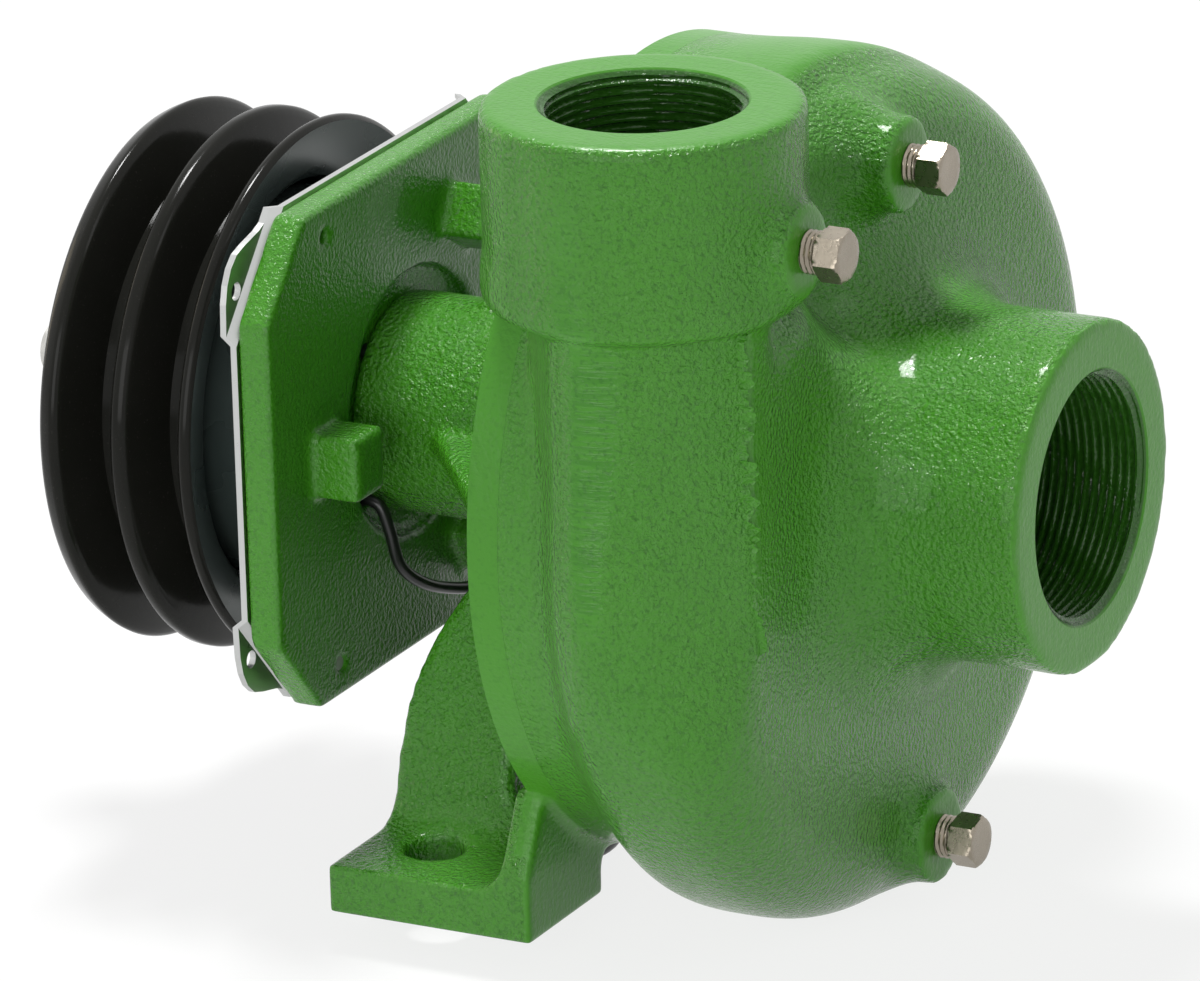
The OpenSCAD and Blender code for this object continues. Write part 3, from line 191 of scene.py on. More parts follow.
def cast_green():
    """Glossy enamel over a sand casting. Masks painted on the mesh give the ground faces, painted shade in
    the ports and on the clutch plate's faces, and the strip of tool marks."""
    n = Nodes("green_enamel")
    p = n.place()
    ground, painted_shade, strip = n.mask("ground"), n.mask("painted_shade"), n.mask("strip")
    grain = n.ramp(n.noise(p, 880.0, 2.0, 0.5), [(0.34, 0.0), (0.66, 1.0)])
    wave = n.noise(p, 240.0, 2.0, 0.5)
    patch = n.noise(p, 26.0, 3.0, 0.5)
    pits = n.ramp(n.noise(p, 900.0, 1.0, 0.5), [(0.34, 1.0), (0.44, 0.0)])
    marks = n.ramp(n.noise(n.place((70, 70, 1000)), 1.0, 2.0, 0.55), [(0.42, 0.0), (0.58, 1.0)])
    rim_lines = n.noise(n.place((30, 700, 700)), 1.0, 3.0, 0.6)
    face_lines = n.noise(n.place((40, 900, 40), 28.0), 1.0, 3.0, 0.6)

    color = n.mix(n.scale(patch, 0.0, 1.0), GREEN_DEEP, GREEN_PALE)
    color = n.mix(n.product(pits, 0.38), color, GREEN_PIT)
    color = n.mix(n.product(ground, 0.55), color, GREEN_GROUND)
    # painted shade: darker green where its mask puts it, in the ports and on the plate's faces
    color = n.mix(painted_shade, color, GREEN_SHADE)
    color = n.mix(n.product(n.product(marks, strip), 0.34), color, GREEN_MARK)

    smooth = n.math('MAXIMUM', n.math('MAXIMUM', ground, painted_shade), n.product(strip, 0.9))
    cast = n.math('SUBTRACT', 1.0, n.product(smooth, 0.86))
    bumped = n.bump(wave, n.product(cast, 0.45), 0.0008)
    bumped = n.bump(grain, cast, 0.00048, bumped)
    bumped = n.bump(rim_lines, n.product(ground, 0.30), 0.0004, bumped)
    bumped = n.bump(face_lines, n.product(ground, 0.25), 0.0004, bumped)
    bumped = n.bump(marks, n.product(strip, 0.60), 0.0002, bumped)
    rough = n.math('ADD', n.scale(patch, 0.13, 0.20), n.product(ground, 0.20))
    return n.finish(Base_Color=color, Roughness=rough, Normal=bumped, Coat_Weight=0.15,
                    Coat_Roughness=0.07, Specular_IOR_Level=0.28)


def metal(name, color, rough, grain=900.0, bump=0.12, dirt=0.25):
    """Bare or plated metal, darker by a share of dirt in broad patches."""
    n = Nodes(name)
    fine = n.noise(n.place(), grain, 3.0, 0.6)
    broad = n.noise(n.place(), 60.0, 3.0, 0.6)
    base = n.mix(n.scale(broad, 0, 1), tuple(c * (1 - dirt) for c in color), color)
    return n.finish(Base_Color=base, Metallic=1.0, Roughness=n.scale(fine, rough * 0.75, rough * 1.3),
                    Normal=n.bump(fine, bump, FINE_BUMP))


def gloss_black():
    """Black paint with a slight orange peel and some dust."""
    n = Nodes("gloss_black")
    p = n.place()
    peel = n.noise(p, 260.0, 2.0, 0.5)
    broad = n.noise(p, 40.0, 3.0, 0.5)
    dust = n.ramp(n.noise(p, 1600.0, 2.0, 0.6), [(0.66, 0.0), (0.72, 1.0)])
    base = n.mix(n.scale(broad, 0, 1), BLACK_DEEP, BLACK_PALE)
    base = n.mix(n.product(dust, 0.35), base, BLACK_DUST)
    return n.finish(Base_Color=base, Roughness=n.scale(broad, 0.10, 0.20),
                    Normal=n.bump(peel, 0.08, FINE_BUMP), Specular_IOR_Level=0.12)


def painted_reflection_teal():
    """Thin dark coat on turned steel behind the pulley, with a teal tone that is a painted reflection of the
    zinc sheet and the green plate.
    """
    n = Nodes("teal_painted_reflection")
    broad = n.noise(n.place(), 45.0, 3.0, 0.5)
    rings = n.noise(n.place((900, 30, 30)), 1.0, 2.0, 0.5)
    base = n.mix(n.scale(broad, 0, 1), REFLECTION_TEAL_DEEP, REFLECTION_TEAL_PALE)
    return n.finish(Base_Color=base, Roughness=n.scale(broad, 0.22, 0.34), Metallic=0.35,
                    Normal=n.bump(rings, 0.06, FINE_BUMP), Specular_IOR_Level=0.35)


def plain(name, color, rough, grain=500.0, bump=0.15):
    """Rubber, ceramic, carbon, resin and plastic."""
    n = Nodes(name)
    fine = n.noise(n.place(), grain, 3.0, 0.6)
    base = n.mix(n.scale(fine, 0, 1), tuple(c * 0.75 for c in color), color)
    return n.finish(Base_Color=base, Roughness=n.scale(fine, rough * 0.85, min(1.0, rough * 1.15)),
                    Normal=n.bump(fine, bump, FINE_BUMP))


LOOKS = {
    "cast_green": cast_green(),
    "bronze": metal("bronze_machined", (0.50, 0.30, 0.12), 0.32),
    "impeller_iron": metal("impeller_iron", (0.12, 0.12, 0.115), 0.55, 500.0, 0.5),
    "nickel_steel": metal("nickel_plate", (0.37, 0.325, 0.26), 0.28, 700.0, 0.14, 0.40),
    "bright_steel": metal("bright_steel", (0.62, 0.61, 0.58), 0.28),
    "bearing_steel": metal("bearing_steel", (0.68, 0.68, 0.67), 0.14, 1200.0, 0.04),
    "dark_steel": metal("oxide_steel", (0.085, 0.100, 0.098), 0.40, 700.0, 0.2),
    "zinc_sheet": metal("zinc_plate", (0.58, 0.59, 0.58), 0.30, 400.0, 0.08, 0.15),
    "copper_winding": plain("resin_winding", (0.16, 0.05, 0.02), 0.35),
    "black_paint": gloss_black(),
    "teal_painted_reflection": painted_reflection_teal(),
    "rubber": plain("moulded_rubber", (0.018, 0.018, 0.018), 0.65),
    "ceramic": plain("lapped_ceramic", (0.72, 0.68, 0.58), 0.20, 900.0, 0.03),
    "carbon": plain("lapped_carbon", (0.03, 0.03, 0.03), 0.35),
    "wire_black": plain("lead_cover", (0.012, 0.012, 0.013), 0.30, 300.0, 0.05),
    "connector_blue": plain("sleeve_blue", (0.02, 0.03, 0.16), 0.35),
}
SLOT = {entry["node"]: entry["material_slot"] for entry in frame["record"]["subparts"]}


# ---------------------------------------------------------------- mesh helpers
SAME_POINT = 1e-6  # metres


def in_frame(points):
    """Points in mm from the joint and the shaft, to metres in the frame."""
    p = np.asarray(points, float)
    return (p + (JOINT_X, 0.0, SHAFT_Z)) * MM


def raw_mesh(points, faces):
    """A mesh of points in mm, with equal points joined and all faces outwards."""
    mesh = bpy.data.meshes.new("raw")
    mesh.from_pydata([tuple(p) for p in in_frame(points)], [], faces)
    bm = bmesh.new()
    bm.from_mesh(mesh)
    bmesh.ops.remove_doubles(bm, verts=bm.verts, dist=SAME_POINT)
    bmesh.ops.recalc_face_normals(bm, faces=bm.faces)
    bm.to_mesh(mesh)
    bm.free()
    return mesh


def grid_faces(rows, cols, closed_rows, closed_cols):
    """Four-sided faces over rows of points, closed to a ring either way."""
    faces = []
    for i in range(rows if closed_rows else rows - 1):
        for j in range(cols if closed_cols else cols - 1):
            a = i * cols + j
            b = i * cols + (j + 1) % cols
            c = ((i + 1) % rows) * cols + (j + 1) % cols
            d = ((i + 1) % rows) * cols + j
            faces.append((a, b, c, d))
    return faces


def lathe(profile, steps, closed=True, across=0.0, above=0.0):
    """A profile of (radius, along) turned about a line along the shaft.
    A closed profile makes a ring, an open one runs from axis to axis."""
    points = []
    for i in range(steps):
        a = 2 * math.pi * i / steps
        points += [(x, across + r * math.cos(a), above + r * math.sin(a)) for r, x in profile]
    return raw_mesh(points, grid_faces(steps, len(profile), True, closed))


def lathe_up(profile, along, across, steps):
    """An open profile of (radius, height), from axis to axis, turned about a vertical line."""
    points = []
    for i in range(steps):
        a = 2 * math.pi * i / steps
        points += [(along + r * math.cos(a), across + r * math.sin(a), z) for r, z in profile]
    return raw_mesh(points, grid_faces(steps, len(profile), True, False))


def rod(radius, low, high, steps, across=0.0, above=0.0, foot=None):
    """Round bar along the shaft's direction, with a wider low end where a foot radius is given."""
    return lathe([(0, low), (foot or radius, low), (radius, high), (0, high)], steps, False, across, above)


def prism(outline, low, high):
    """An outline seen from above, drawn out from low to high."""
    n = len(outline)
    points = [(a, b, level) for level in (low, high) for a, b in outline]
    faces = [tuple(range(n)), tuple(range(2 * n - 1, n - 1, -1))]
    faces += [(i, (i + 1) % n, n + (i + 1) % n, n + i) for i in range(n)]
    return raw_mesh(points, faces)


def thing(name, data):
    ob = bpy.data.objects.new(name, data)
    bpy.context.scene.collection.objects.link(ob)
    return ob


def capped_tube(rings, steps):
    """Faces of a stack of rings of points, with a lid on the first and on the last."""
    last = (rings - 1) * steps
    return grid_faces(rings, steps, False, True) + [
        tuple(range(steps)), tuple(range(last + steps - 1, last - 1, -1))]


def applied(ob):
    """The object's mesh with its modifiers applied."""
    deps = bpy.context.evaluated_depsgraph_get()
    mesh = bpy.data.meshes.new_from_object(ob.evaluated_get(deps))
    ob.modifiers.clear()
    ob.data = mesh
    return ob


def copied(node):
    """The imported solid's mesh, with its points joined."""
    mesh = NODES[node].data.copy()
    bm = bmesh.new()
    bm.from_mesh(mesh)
    bmesh.ops.remove_doubles(bm, verts=bm.verts, dist=SAME_POINT)
    bm.to_mesh(mesh)
    bm.free()
    return mesh


def fused(name, meshes, voxel_mm):
    """One even skin round all the meshes."""
    bm = bmesh.new()
    for mesh in meshes:
        bm.from_mesh(mesh)
    whole = bpy.data.meshes.new(name)
    bm.to_mesh(whole)
    bm.free()
    ob = thing(name, whole)
    mod = ob.modifiers.new("skin", 'REMESH')
    mod.mode = 'VOXEL'
    mod.voxel_size = voxel_mm * MM
    mod.adaptivity = 0.0
    return applied(ob)


def carve(ob, cutter_mesh, operation='DIFFERENCE'):
    """Cuts the mesh out of the object, or adds it with 'UNION'."""
    cutter = thing("cutter", cutter_mesh)
    mod = ob.modifiers.new("cut", 'BOOLEAN')
    mod.operation = operation
    mod.solver = 'MANIFOLD'
    mod.object = cutter
    applied(ob)
    bpy.data.objects.remove(cutter)
    return ob


def join(ob, mesh):
    return carve(ob, mesh, 'UNION')


def coords(mesh):
    co = np.zeros(len(mesh.vertices) * 3)
    mesh.vertices.foreach_get("co", co)
    return co.reshape(-1, 3)


def local(co):
    """Back from metres to mm from the joint and the shaft."""
    return co / MM - (JOINT_X, 0.0, SHAFT_Z)


def relax(ob, weight, rounds):
    """Rounds off creases: each point moves towards the middle of its neighbours."""
    mesh = ob.data
    co = coords(mesh)
    n = len(co)
    edges = np.zeros(len(mesh.edges) * 2, int)
    mesh.edges.foreach_get("vertices", edges)
    a, b = edges.reshape(-1, 2).T
    degree = np.maximum(np.bincount(a, minlength=n) + np.bincount(b, minlength=n), 1)
    w = (0.5 * np.broadcast_to(weight, (n,)))[:, None]
    for _ in range(rounds):
        mean = np.stack([np.bincount(a, co[b, k], n) + np.bincount(b, co[a, k], n) for k in range(3)], 1)
        co += (mean / degree[:, None] - co) * w
    mesh.vertices.foreach_set("co", co.ravel())
    mesh.update()
    return co


def paint(ob, ground=0.0, painted_shade=0.0, strip=0.0):
    """Stores the masks that the green enamel reads, one value to a point."""
    # one mask holds painted shade for the ports and the plate's faces
    masks = {"ground": ground, "painted_shade": painted_shade, "strip": strip}
    for name, values in masks.items():
        layer = ob.data.attributes.new(name, 'FLOAT', 'POINT')
        layer.data.foreach_set("value", np.broadcast_to(np.asarray(values, float), len(layer.data)).copy())


def fade(value, at, width):
    """A slope from 0 at (at - width) to 1 at (at + width)."""
    return np.clip((value - at) / (2 * width) + 0.5, 0, 1)


def dress(ob, body, slot, node):
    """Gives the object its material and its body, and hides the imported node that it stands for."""
    ob.data.materials.clear()
    ob.data.materials.append(LOOKS[slot])
    ob.data.polygons.foreach_set("use_smooth", np.ones(len(ob.data.polygons), bool))
    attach(ob, body)
    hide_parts(node)


def smooth_by_angle(ob, degrees):
    """Smooth shading, with the edges sharper than the angle kept."""
    bm = bmesh.new()
    bm.from_mesh(ob.data)
    limit = math.radians(degrees)
    for edge in bm.edges:
        if len(edge.link_faces) == 2:
            edge.smooth = edge.calc_face_angle(0.0) < limit
    bm.to_mesh(ob.data)
    bm.free()


def arc(cx, cy, r, a0, a1, n):
    """Points on an arc from a0 to a1 degrees, in n steps."""
    return [(cx + r * math.cos(math.radians(a0 + (a1 - a0) * i / n)),
             cy + r * math.sin(math.radians(a0 + (a1 - a0) * i / n))) for i in range(n + 1)]


def curve_through(points, cuts):
    """Smooth curve through a list of points, cuts points to each span."""
    p = [np.asarray(q, float) for q in points]
    out = []
    for i in range(len(p) - 1):
        a, b, c, d = p[max(i - 1, 0)], p[i], p[i + 1], p[min(i + 2, len(p) - 1)]
        for k in range(cuts):
            t = k / cuts
            out.append(0.5 * (2 * b + (c - a) * t + (2 * a - 5 * b + 4 * c - d) * t * t
                              + (3 * b - a - 3 * c + d) * t ** 3))
    return out + [p[-1]]


# ---------------------------------------------------------------- lead
LEAD_R = 1.5
LEAD_CUTS = 6
LEAD_POINTS = [  # in the frame's own mm, from the grommet to the sleeve
    (-37.2, -23.721, 83.125), (-32.2, -23.721, 82.125),
    (-30, -23, 76), (-29, -20, 66), (-27, -12, 59), (-25, 0, 54), (-22, 14, 50), (-16, 22, 40),
    (-10, 24, 24), (-2, 23, 8), (6, 17, -4), (13, 7, -6.9), (13, -6, -6.9), (3, -14, -6.9),
    (-10, -12, -6.9), (-17, -2, -6.9), (-14, 8, -6.9), (-7, 11.5, -6.5), (-2, 7, -5.6)]


def make_lead():
    path = [p * MM for p in curve_through(LEAD_POINTS, LEAD_CUTS)]
    data = bpy.data.curves.new("lead", 'CURVE')
    data.dimensions = '3D'
    spline = data.splines.new('POLY')
    spline.points.add(len(path) - 1)
    for point, q in zip(spline.points, path):
        point.co = (*q, 1)
    data.bevel_depth = LEAD_R * MM
    data.bevel_resolution = 4
    data.use_fill_caps = True
    ob = bpy.data.objects.new("lead_tube", data)
    bpy.context.scene.collection.objects.link(ob)
    data.materials.append(LOOKS["wire_black"])
    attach(ob, "casing")
    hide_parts("lead_wire")
    length = float(sum(np.linalg.norm(b - a) for a, b in zip(path, path[1:])))
    tuple(path[0])


make_lead()


# ---------------------------------------------------------------- casing
# The scroll: where it starts, in degrees from the top, and its radius and width at both ends
START_AT = 120
SCROLL_R0, SCROLL_R1 = 92.5, 109.5
SCROLL_W0, SCROLL_W1 = 44.0, 60.0
GROWN_R_AT, GROWN_W_AT = 0.58, 0.36  # share of the way round where each has its full size
FLANGE_R = 97.3
BAND_R, BAND_W = 98.9, 35.0  # the ground band round the flange's side
LIP_W, LIP_RISE, LIP_EDGE = 9.0, 0.4, 0.7
NECK_LIP = 1.8  # how much wider the lip is on the neck
BULGE_W = 19.0
BULGE_CURVE = ((0.12, 0.12), (0.25, 0.35), (0.40, 0.60), (0.56, 0.80), (0.76, 0.95), (1, 1))
CORNER_DROP, CORNER_SPAN = 25.0, 32.0  # the worn corner between the neck's front and its near side
SHOULDER_R, FLARE_R = 20.0, 21.0
NOZZLE_R, SUCTION_FACE = 42.3, 106.0
COLLAR_R, COLLAR_H = 37.9, 47.0
OUT_X, OUT_Y, OUT_TOP = 28.5, -72.6, 109.6
COLLAR_LOW = OUT_TOP - COLLAR_H
FRONT_Y = 1.7  # the neck's front lies this much behind the scroll's radius
SKIN_GAP = 0.15
EDGE_CUTS = 3
CASING_VOXEL, FRAME_VOXEL, PLATE_VOXEL = 1.36, 1.2, 1.1

# Face, across, above and depth of the bosses
BOSS_R = 11.8
BOSSES = {"gauge": (70.0, OUT_Y, 78.4, 41.5), "prime": (60.2, 0.0, 76.1, 18.0),
          "drain": (65.0, 0.0, -91.2, 34.0)}

FACE_DEPTH = 0.8  # how deep a ground face reaches into its edge
PORT_PAINTED_SHADE = 0.75  # how much painted shade darkens the insides of the ports

# Ports: crest radius, depth of thread, passage radius, how far it goes
THREAD_PITCH, THREAD_CUT = 2.21, 1.35
DISCHARGE_PORT = (24.1, 26.0, 20.5, -6.0)
SUCTION_PORT = (30.1, 27.0, 26.0, 22.0)


def progress(a):
    """Share of the way round the scroll at an angle in degrees."""
    return (a - START_AT) / (180 - START_AT) if a > START_AT else (START_AT - a) / (START_AT + 180)


def scroll_r(p):
    return SCROLL_R0 + (SCROLL_R1 - SCROLL_R0) * (1 - math.cos(math.pi * min(1, p / GROWN_R_AT))) / 2


def scroll_w(p):
    return SCROLL_W0 + (SCROLL_W1 - SCROLL_W0) * math.sin(math.pi / 2 * min(1, p / GROWN_W_AT)) ** 0.9


def scroll_edge(p, torn=1.0):
    """Outline of the scroll's skin from the lip to the near shoulder, as (along, radius).
    Where torn is 1 the near corner is worn down, as on the neck."""
    r, w = scroll_r(p), scroll_w(p)
    shoulder = SHOULDER_R - 5 * max(0, 1 - p / 0.3)
    lip = FLANGE_R + LIP_RISE
    bulge = max(BAND_R, r)
    turn = w - shoulder
    lip_w = LIP_W + NECK_LIP * min(1, max(0, (p - 0.74) / 0.16) if torn < 1 else 1)
    rise = LIP_W + BULGE_W - lip_w
    side = [(lip_w, lip)] + [(lip_w + rise * a, lip + (bulge - lip) * b) for a, b in BULGE_CURVE]
    side += [(max(BAND_W, turn - 1), bulge), (max(BAND_W + 2.2, turn + 2), bulge + 0.75 * (r - bulge))]
    corner = arc(turn, r - shoulder, shoulder, 80, 0, 12)
    edge = side + [(max(x, BAND_W + 3 + 0.25 * i), y) for i, (x, y) in enumerate(corner)]
    worn_from = w - CORNER_SPAN
    return [(x, y + torn * (r - CORNER_DROP * ((x - worn_from) / CORNER_SPAN) ** 1.8 - y)
             if x > worn_from else y) for x, y in edge]


def scroll_section(a):
    """Closed section of the scroll at an angle, down to the nozzle's root."""
    p = progress(a)
    torn = 1.0 if a > START_AT else min(1, max(0, (p - 0.925) / 0.05))
    w, root = scroll_w(p), NOZZLE_R + FLARE_R
    edge = [tuple(q) for q in curve_through(scroll_edge(p, torn), EDGE_CUTS)]
    return ([(0, 30), (0, FLANGE_R - LIP_EDGE), (LIP_EDGE, FLANGE_R)] + edge + [(w, root + 4)]
            + arc(w + FLARE_R, root, FLARE_R, 180, 262, 14) + [(w + FLARE_R + 3, 30)])


def scroll_mesh(steps=240):
    points = []
    for i in range(steps):
        a = 180 - 360 * i / steps
        c, s = math.cos(math.radians(a)), math.sin(math.radians(a))
        points += [(x, r * c, r * s) for x, r in scroll_section(a)]
    return raw_mesh(points, grid_faces(steps, len(points) // steps, True, True))


def neck_mesh():
    """Duct from the scroll's end up to the collar, with a flat front."""
    edge = [tuple(q) for q in curve_through(scroll_edge(1), EDGE_CUTS)]
    inside = -NOZZLE_R - 2
    outline = [(LIP_W + NECK_LIP, inside)] + [(x - SKIN_GAP, FRONT_Y - r) for x, r in edge]
    outline += [(SCROLL_W1 - SKIN_GAP, OUT_Y), (SCROLL_W1 - 9, OUT_Y + 12), (SCROLL_W0, inside)]
    return prism(outline, 0.5, COLLAR_LOW + 0.5)


def collar_mesh():
    """Round collar of the discharge port, with a bead over its rounded lower edge."""
    low = COLLAR_LOW - 0.8
    profile = [(0, low), (COLLAR_R - 3.6, low)] + arc(COLLAR_R - 3.4, low + 4.4, 4.4, 270, 360, 8)
    profile += [(COLLAR_R + 0.9, COLLAR_LOW + 7), (COLLAR_R, COLLAR_LOW + 14)]
    profile += [(COLLAR_R, OUT_TOP), (0, OUT_TOP)]
    return lathe_up(profile, OUT_X, OUT_Y, 200)


def port_cutter(port, face_at, place):
    """The whole empty space of a port: helical thread, chamfered mouth and the passage behind it."""
    radius, depth, passage, far = port
    steps, rows_per_turn, chamfer = 132, 8, 1.6
    rows = int(depth / THREAD_PITCH * rows_per_turn)
    rings = [[(radius + 0.5, face_at + 3.0)] * steps]
    for i in range(rows + 1):
        t = depth * i / rows
        ring = []
        for j in range(steps):
            phase = (t / THREAD_PITCH - j / steps) % 1.0
            r = radius - THREAD_CUT * min(1, max(0, 1.9 * abs(2 * phase - 1) - 0.25))
            if t < chamfer:
                r = max(r, radius + 0.8 - t)
            ring.append((r, face_at - t))
        rings.append(ring)
    rings += [[(passage, face_at - depth - 1.0)] * steps, [(passage, far)] * steps]
    points = [place(r, 2 * math.pi * (j / steps), h) for ring in rings for j, (r, h) in enumerate(ring)]
    return raw_mesh(points, capped_tube(len(rings), steps))


def on_collar(r, t, h):
    return OUT_X + r * math.cos(t), OUT_Y + r * math.sin(t), h


def on_nozzle(r, t, h):
    return h, r * math.cos(t), r * math.sin(t)


STRIP_Z = [-5, 11, 36, 58, 73, 97]
STRIP_LEFT = [26.1, 24.4, 25.4, 26.3, 23.2, 22.5]
STRIP_RIGHT = [32.8, 33.6, 36.9, 37.7, 31.0, 31.5]
STRIP_FADE_Z = [-14, -4, 56, 62, 66, 90, 100]
STRIP_AMOUNT = [0, 1, 1, 0.8, 0.75, 0.5, 0]


def strip_mask(x, y, z):
    """Band of short tool marks down the front of the neck, fainter on the collar."""
    left, right = np.interp(z, STRIP_Z, STRIP_LEFT), np.interp(z, STRIP_Z, STRIP_RIGHT)
    amount = np.interp(z, STRIP_FADE_Z, STRIP_AMOUNT)
    return fade(x, left + 0.5, 0.8) * (1 - fade(x, right - 0.5, 1.2)) * amount * (y < -60)


# The flash: its line down the neck, its foot and height, and the direction in which it stands
FLASH_Z = [-30, -22, 0, 30, 60]
FLASH_Y = [-79.5, -82.6, -84.6, -84.6, -84.6]
FLASH_X, FLASH_FROM, FLASH_LENGTH = 59.6, -26, 90
FLASH_OUT = (0.62, 0.78)
FLASH_ROOT = -5.0


def flash_mesh():
    """Thin torn edge down the right of the neck, where the halves of the mould met."""
    points = []
    steps = 180
    c, d = FLASH_OUT
    for i in range(steps + 1):
        z = FLASH_FROM + FLASH_LENGTH * i / steps
        y = float(np.interp(z, FLASH_Z, FLASH_Y))
        ragged = noise.noise(Vector((0.5, 2.1, z * 0.24))) + 0.5 * noise.noise(Vector((4.0, 0.3, z * 0.8)))
        reach = min(2.6, max(-0.6, 0.9 + 3.4 * ragged)) * min(1, i / 12)
        for along, away in ((FLASH_ROOT, -2.6), (reach, 0.35), (reach, -0.15), (FLASH_ROOT, -5.0)):
            points.append((FLASH_X + c * along + d * away, y + d * along - c * away, z))
    return raw_mesh(points, capped_tube(steps + 1, 4))


def casing_parts():
    """The casing's solid forms, before they grow together."""
    parts = [scroll_mesh(), rod(NOZZLE_R, 0.4, SUCTION_FACE, 200), neck_mesh(),
             lathe_up([(0, -10), (27.5, -10), (27.5, COLLAR_LOW + 2), (0, COLLAR_LOW + 2)], OUT_X, OUT_Y, 96),
             collar_mesh()]
    for face, across, above, depth in BOSSES.values():
        parts.append(rod(BOSS_R, face - depth, face, 64, across, above))
        parts.append(rod(BOSS_R, face - 17, face - 5.5, 64, across, above, BOSS_R + 5.5))
    return parts


def firm_mask(p):
    """1 where the casing keeps its edges while the rest is rounded off."""
    x, y, z = p.T
    radius, out_r = np.hypot(y, z), np.hypot(x - OUT_X, y - OUT_Y)
    bead = np.clip(1 - np.abs(z - COLLAR_LOW) / 5, 0, 1) * (y < -80) * (out_r < COLLAR_R + 3)
    corner = np.hypot(x - SCROLL_W1, y - np.interp(z, FLASH_Z, FLASH_Y))
    masks = [fade(x, SUCTION_FACE - 5, 1) * (radius < NOZZLE_R + 3),
             fade(z, OUT_TOP - 4, 1) * (out_r < COLLAR_R + 3),
             x < 3,
             np.minimum(1, 1.6 * bead),
             np.clip(1.6 - corner / 4, 0, 1) * fade(z, -24, 4) * (z < 64)]
    for face, across, above, _ in BOSSES.values():
        masks.append((np.hypot(y - across, z - above) < BOSS_R + 2) * fade(x, face - 3.5, 0.8))
    return np.max(masks, axis=0)


def ground_mask(p):
    """1 where the casing was machined or filed: port faces, bosses, the flange's band and the neck's side."""
    x, y, z = p.T
    radius, out_r = np.hypot(y, z), np.hypot(x - OUT_X, y - OUT_Y)
    facet = fade(x, SCROLL_W1 - 1.2, 0.4) * (1 - fade(x, SCROLL_W1 + 1.5, 0.4))
    facet *= (y > -83.8) * (1 - fade(y, OUT_Y - 5, 7)) * fade(z, -14, 14) * (z < COLLAR_LOW)
    band = fade(radius, 97.5, 0.6) * (1 - fade(x, BAND_W + 1.5, 0.6)) * fade(z, 62, 26) * (y > -45)
    masks = [(z > OUT_TOP - FACE_DEPTH) & (out_r < COLLAR_R),
             x > SUCTION_FACE - FACE_DEPTH,
             0.35 * fade(9.5 - x, 0, 0.6) * (radius > 90),
             0.75 * facet,
             band]
    for face, across, above, _ in BOSSES.values():
        masks.append((np.hypot(y - across, z - above) < BOSS_R) & (x > face - FACE_DEPTH))
    return np.max(masks, axis=0)


def make_casing():
    ob = fused("casing_cast", casing_parts(), CASING_VOXEL)
    firm = firm_mask(local(coords(ob.data)))
    relax(ob, 1.0, 4)
    relax(ob, 1 - firm, 26)
    lip_end = LIP_EDGE + 4.5
    join(ob, lathe([(88, 0.02), (FLANGE_R, 0.02), (FLANGE_R, lip_end), (88, lip_end)], 240))
    join(ob, flash_mesh())
    carve(ob, port_cutter(DISCHARGE_PORT, OUT_TOP, on_collar))
    carve(ob, port_cutter(SUCTION_PORT, SUCTION_FACE, on_nozzle))
    # the space for the impeller, and a flat joint face
    carve(ob, lathe([(0, -4), (83.6, -4), (83.6, 24.0), (33, 38), (0, 38)], 160, False))
    carve(ob, rod(FLANGE_R + 0.6, -30, 0, 200))
    p = local(coords(ob.data))
    x, y, z = p.T
    # the insides of the ports get painted shade
    in_suction = (np.hypot(y, z) < SUCTION_PORT[0] + 0.3) & (x > 60)
    in_discharge = (np.hypot(x - OUT_X, y - OUT_Y) < DISCHARGE_PORT[0] + 0.3) & (z > 60)
    paint(ob, ground_mask(p), PORT_PAINTED_SHADE * (in_suction | in_discharge), strip_mask(x, y, z))
    smooth_by_angle(ob, 38)
    dress(ob, "casing", "cast_green", "volute_casing")


make_casing()


# ---------------------------------------------------------------- bearing frame and clutch plate
FLANGE_BACK = -8.0
RING_R = 95.3  # inside radius of the crisp ring on the flange


def make_frame():
    ob = fused("frame_cast", [copied("bearing_frame")], FRAME_VOXEL)
    relax(ob, 1.0, 6)
    join(ob, lathe([(RING_R, -7.95), (FLANGE_R, -7.95), (FLANGE_R, -0.02), (RING_R, -0.02)], 240))
    x, y, z = local(coords(ob.data)).T
    side = (np.hypot(y, z) > FLANGE_R - 0.6) & (x > FLANGE_BACK - 0.6) & (z > -80)
    foot_edge = (np.abs(x - FLANGE_BACK / 2) < 1.0) & (z < -60)
    paint(ob, ground=side | foot_edge)
    smooth_by_angle(ob, 50)
    dress(ob, "casing", "cast_green", "bearing_frame")


PLATE_FACE, LUG_FACE = -74.0, -61.0


def make_plate():
    ob = fused("plate_cast", [copied("clutch_plate")], PLATE_VOXEL)
    relax(ob, 1.0, 5)
    x = local(coords(ob.data))[:, 0]
    face = np.clip(1.6 - np.minimum(np.abs(x - PLATE_FACE), np.abs(x - LUG_FACE)), 0, 1)
    # The plate's face and the lugs' faces are ground smoother and darkened with painted shade where they lie
    # in shade behind the casing, with some thin dusty paint as well.
    paint(ob, ground=0.45 + 0.25 * face, painted_shade=0.25 * face)
    dress(ob, "casing", "cast_green", "clutch_plate")


make_frame()
make_plate()


# ---------------------------------------------------------------- plugs
PLUG_STEPS = 96
PLUG_ROOT_R, PLUG_TOOTH, PLUG_PITCH = 4.75, 0.5, 1.25
PLUG_IN, PLUG_OUT = -7.9, 4.0  # thread's ends, from the boss's face
THREAD_ROWS = 66
HEAD_H, HEAD_R = 6.3, 6.5  # height and radius over the corners
# Height above the shank and largest radius of each ring of the head, which gives its round shoulders
HEAD_RINGS = ((0.0, 5.6), (0.02, 5.9), (0.35, 6.9), (1.2, 7.4),
              (HEAD_H - 1.5, 7.4), (HEAD_H - 0.9, 6.7), (HEAD_H - 0.45, 6.2), (HEAD_H - 0.12, 5.75),
              (HEAD_H, 5.45), (HEAD_H, 4.2), (HEAD_H - 0.05, 2.0))


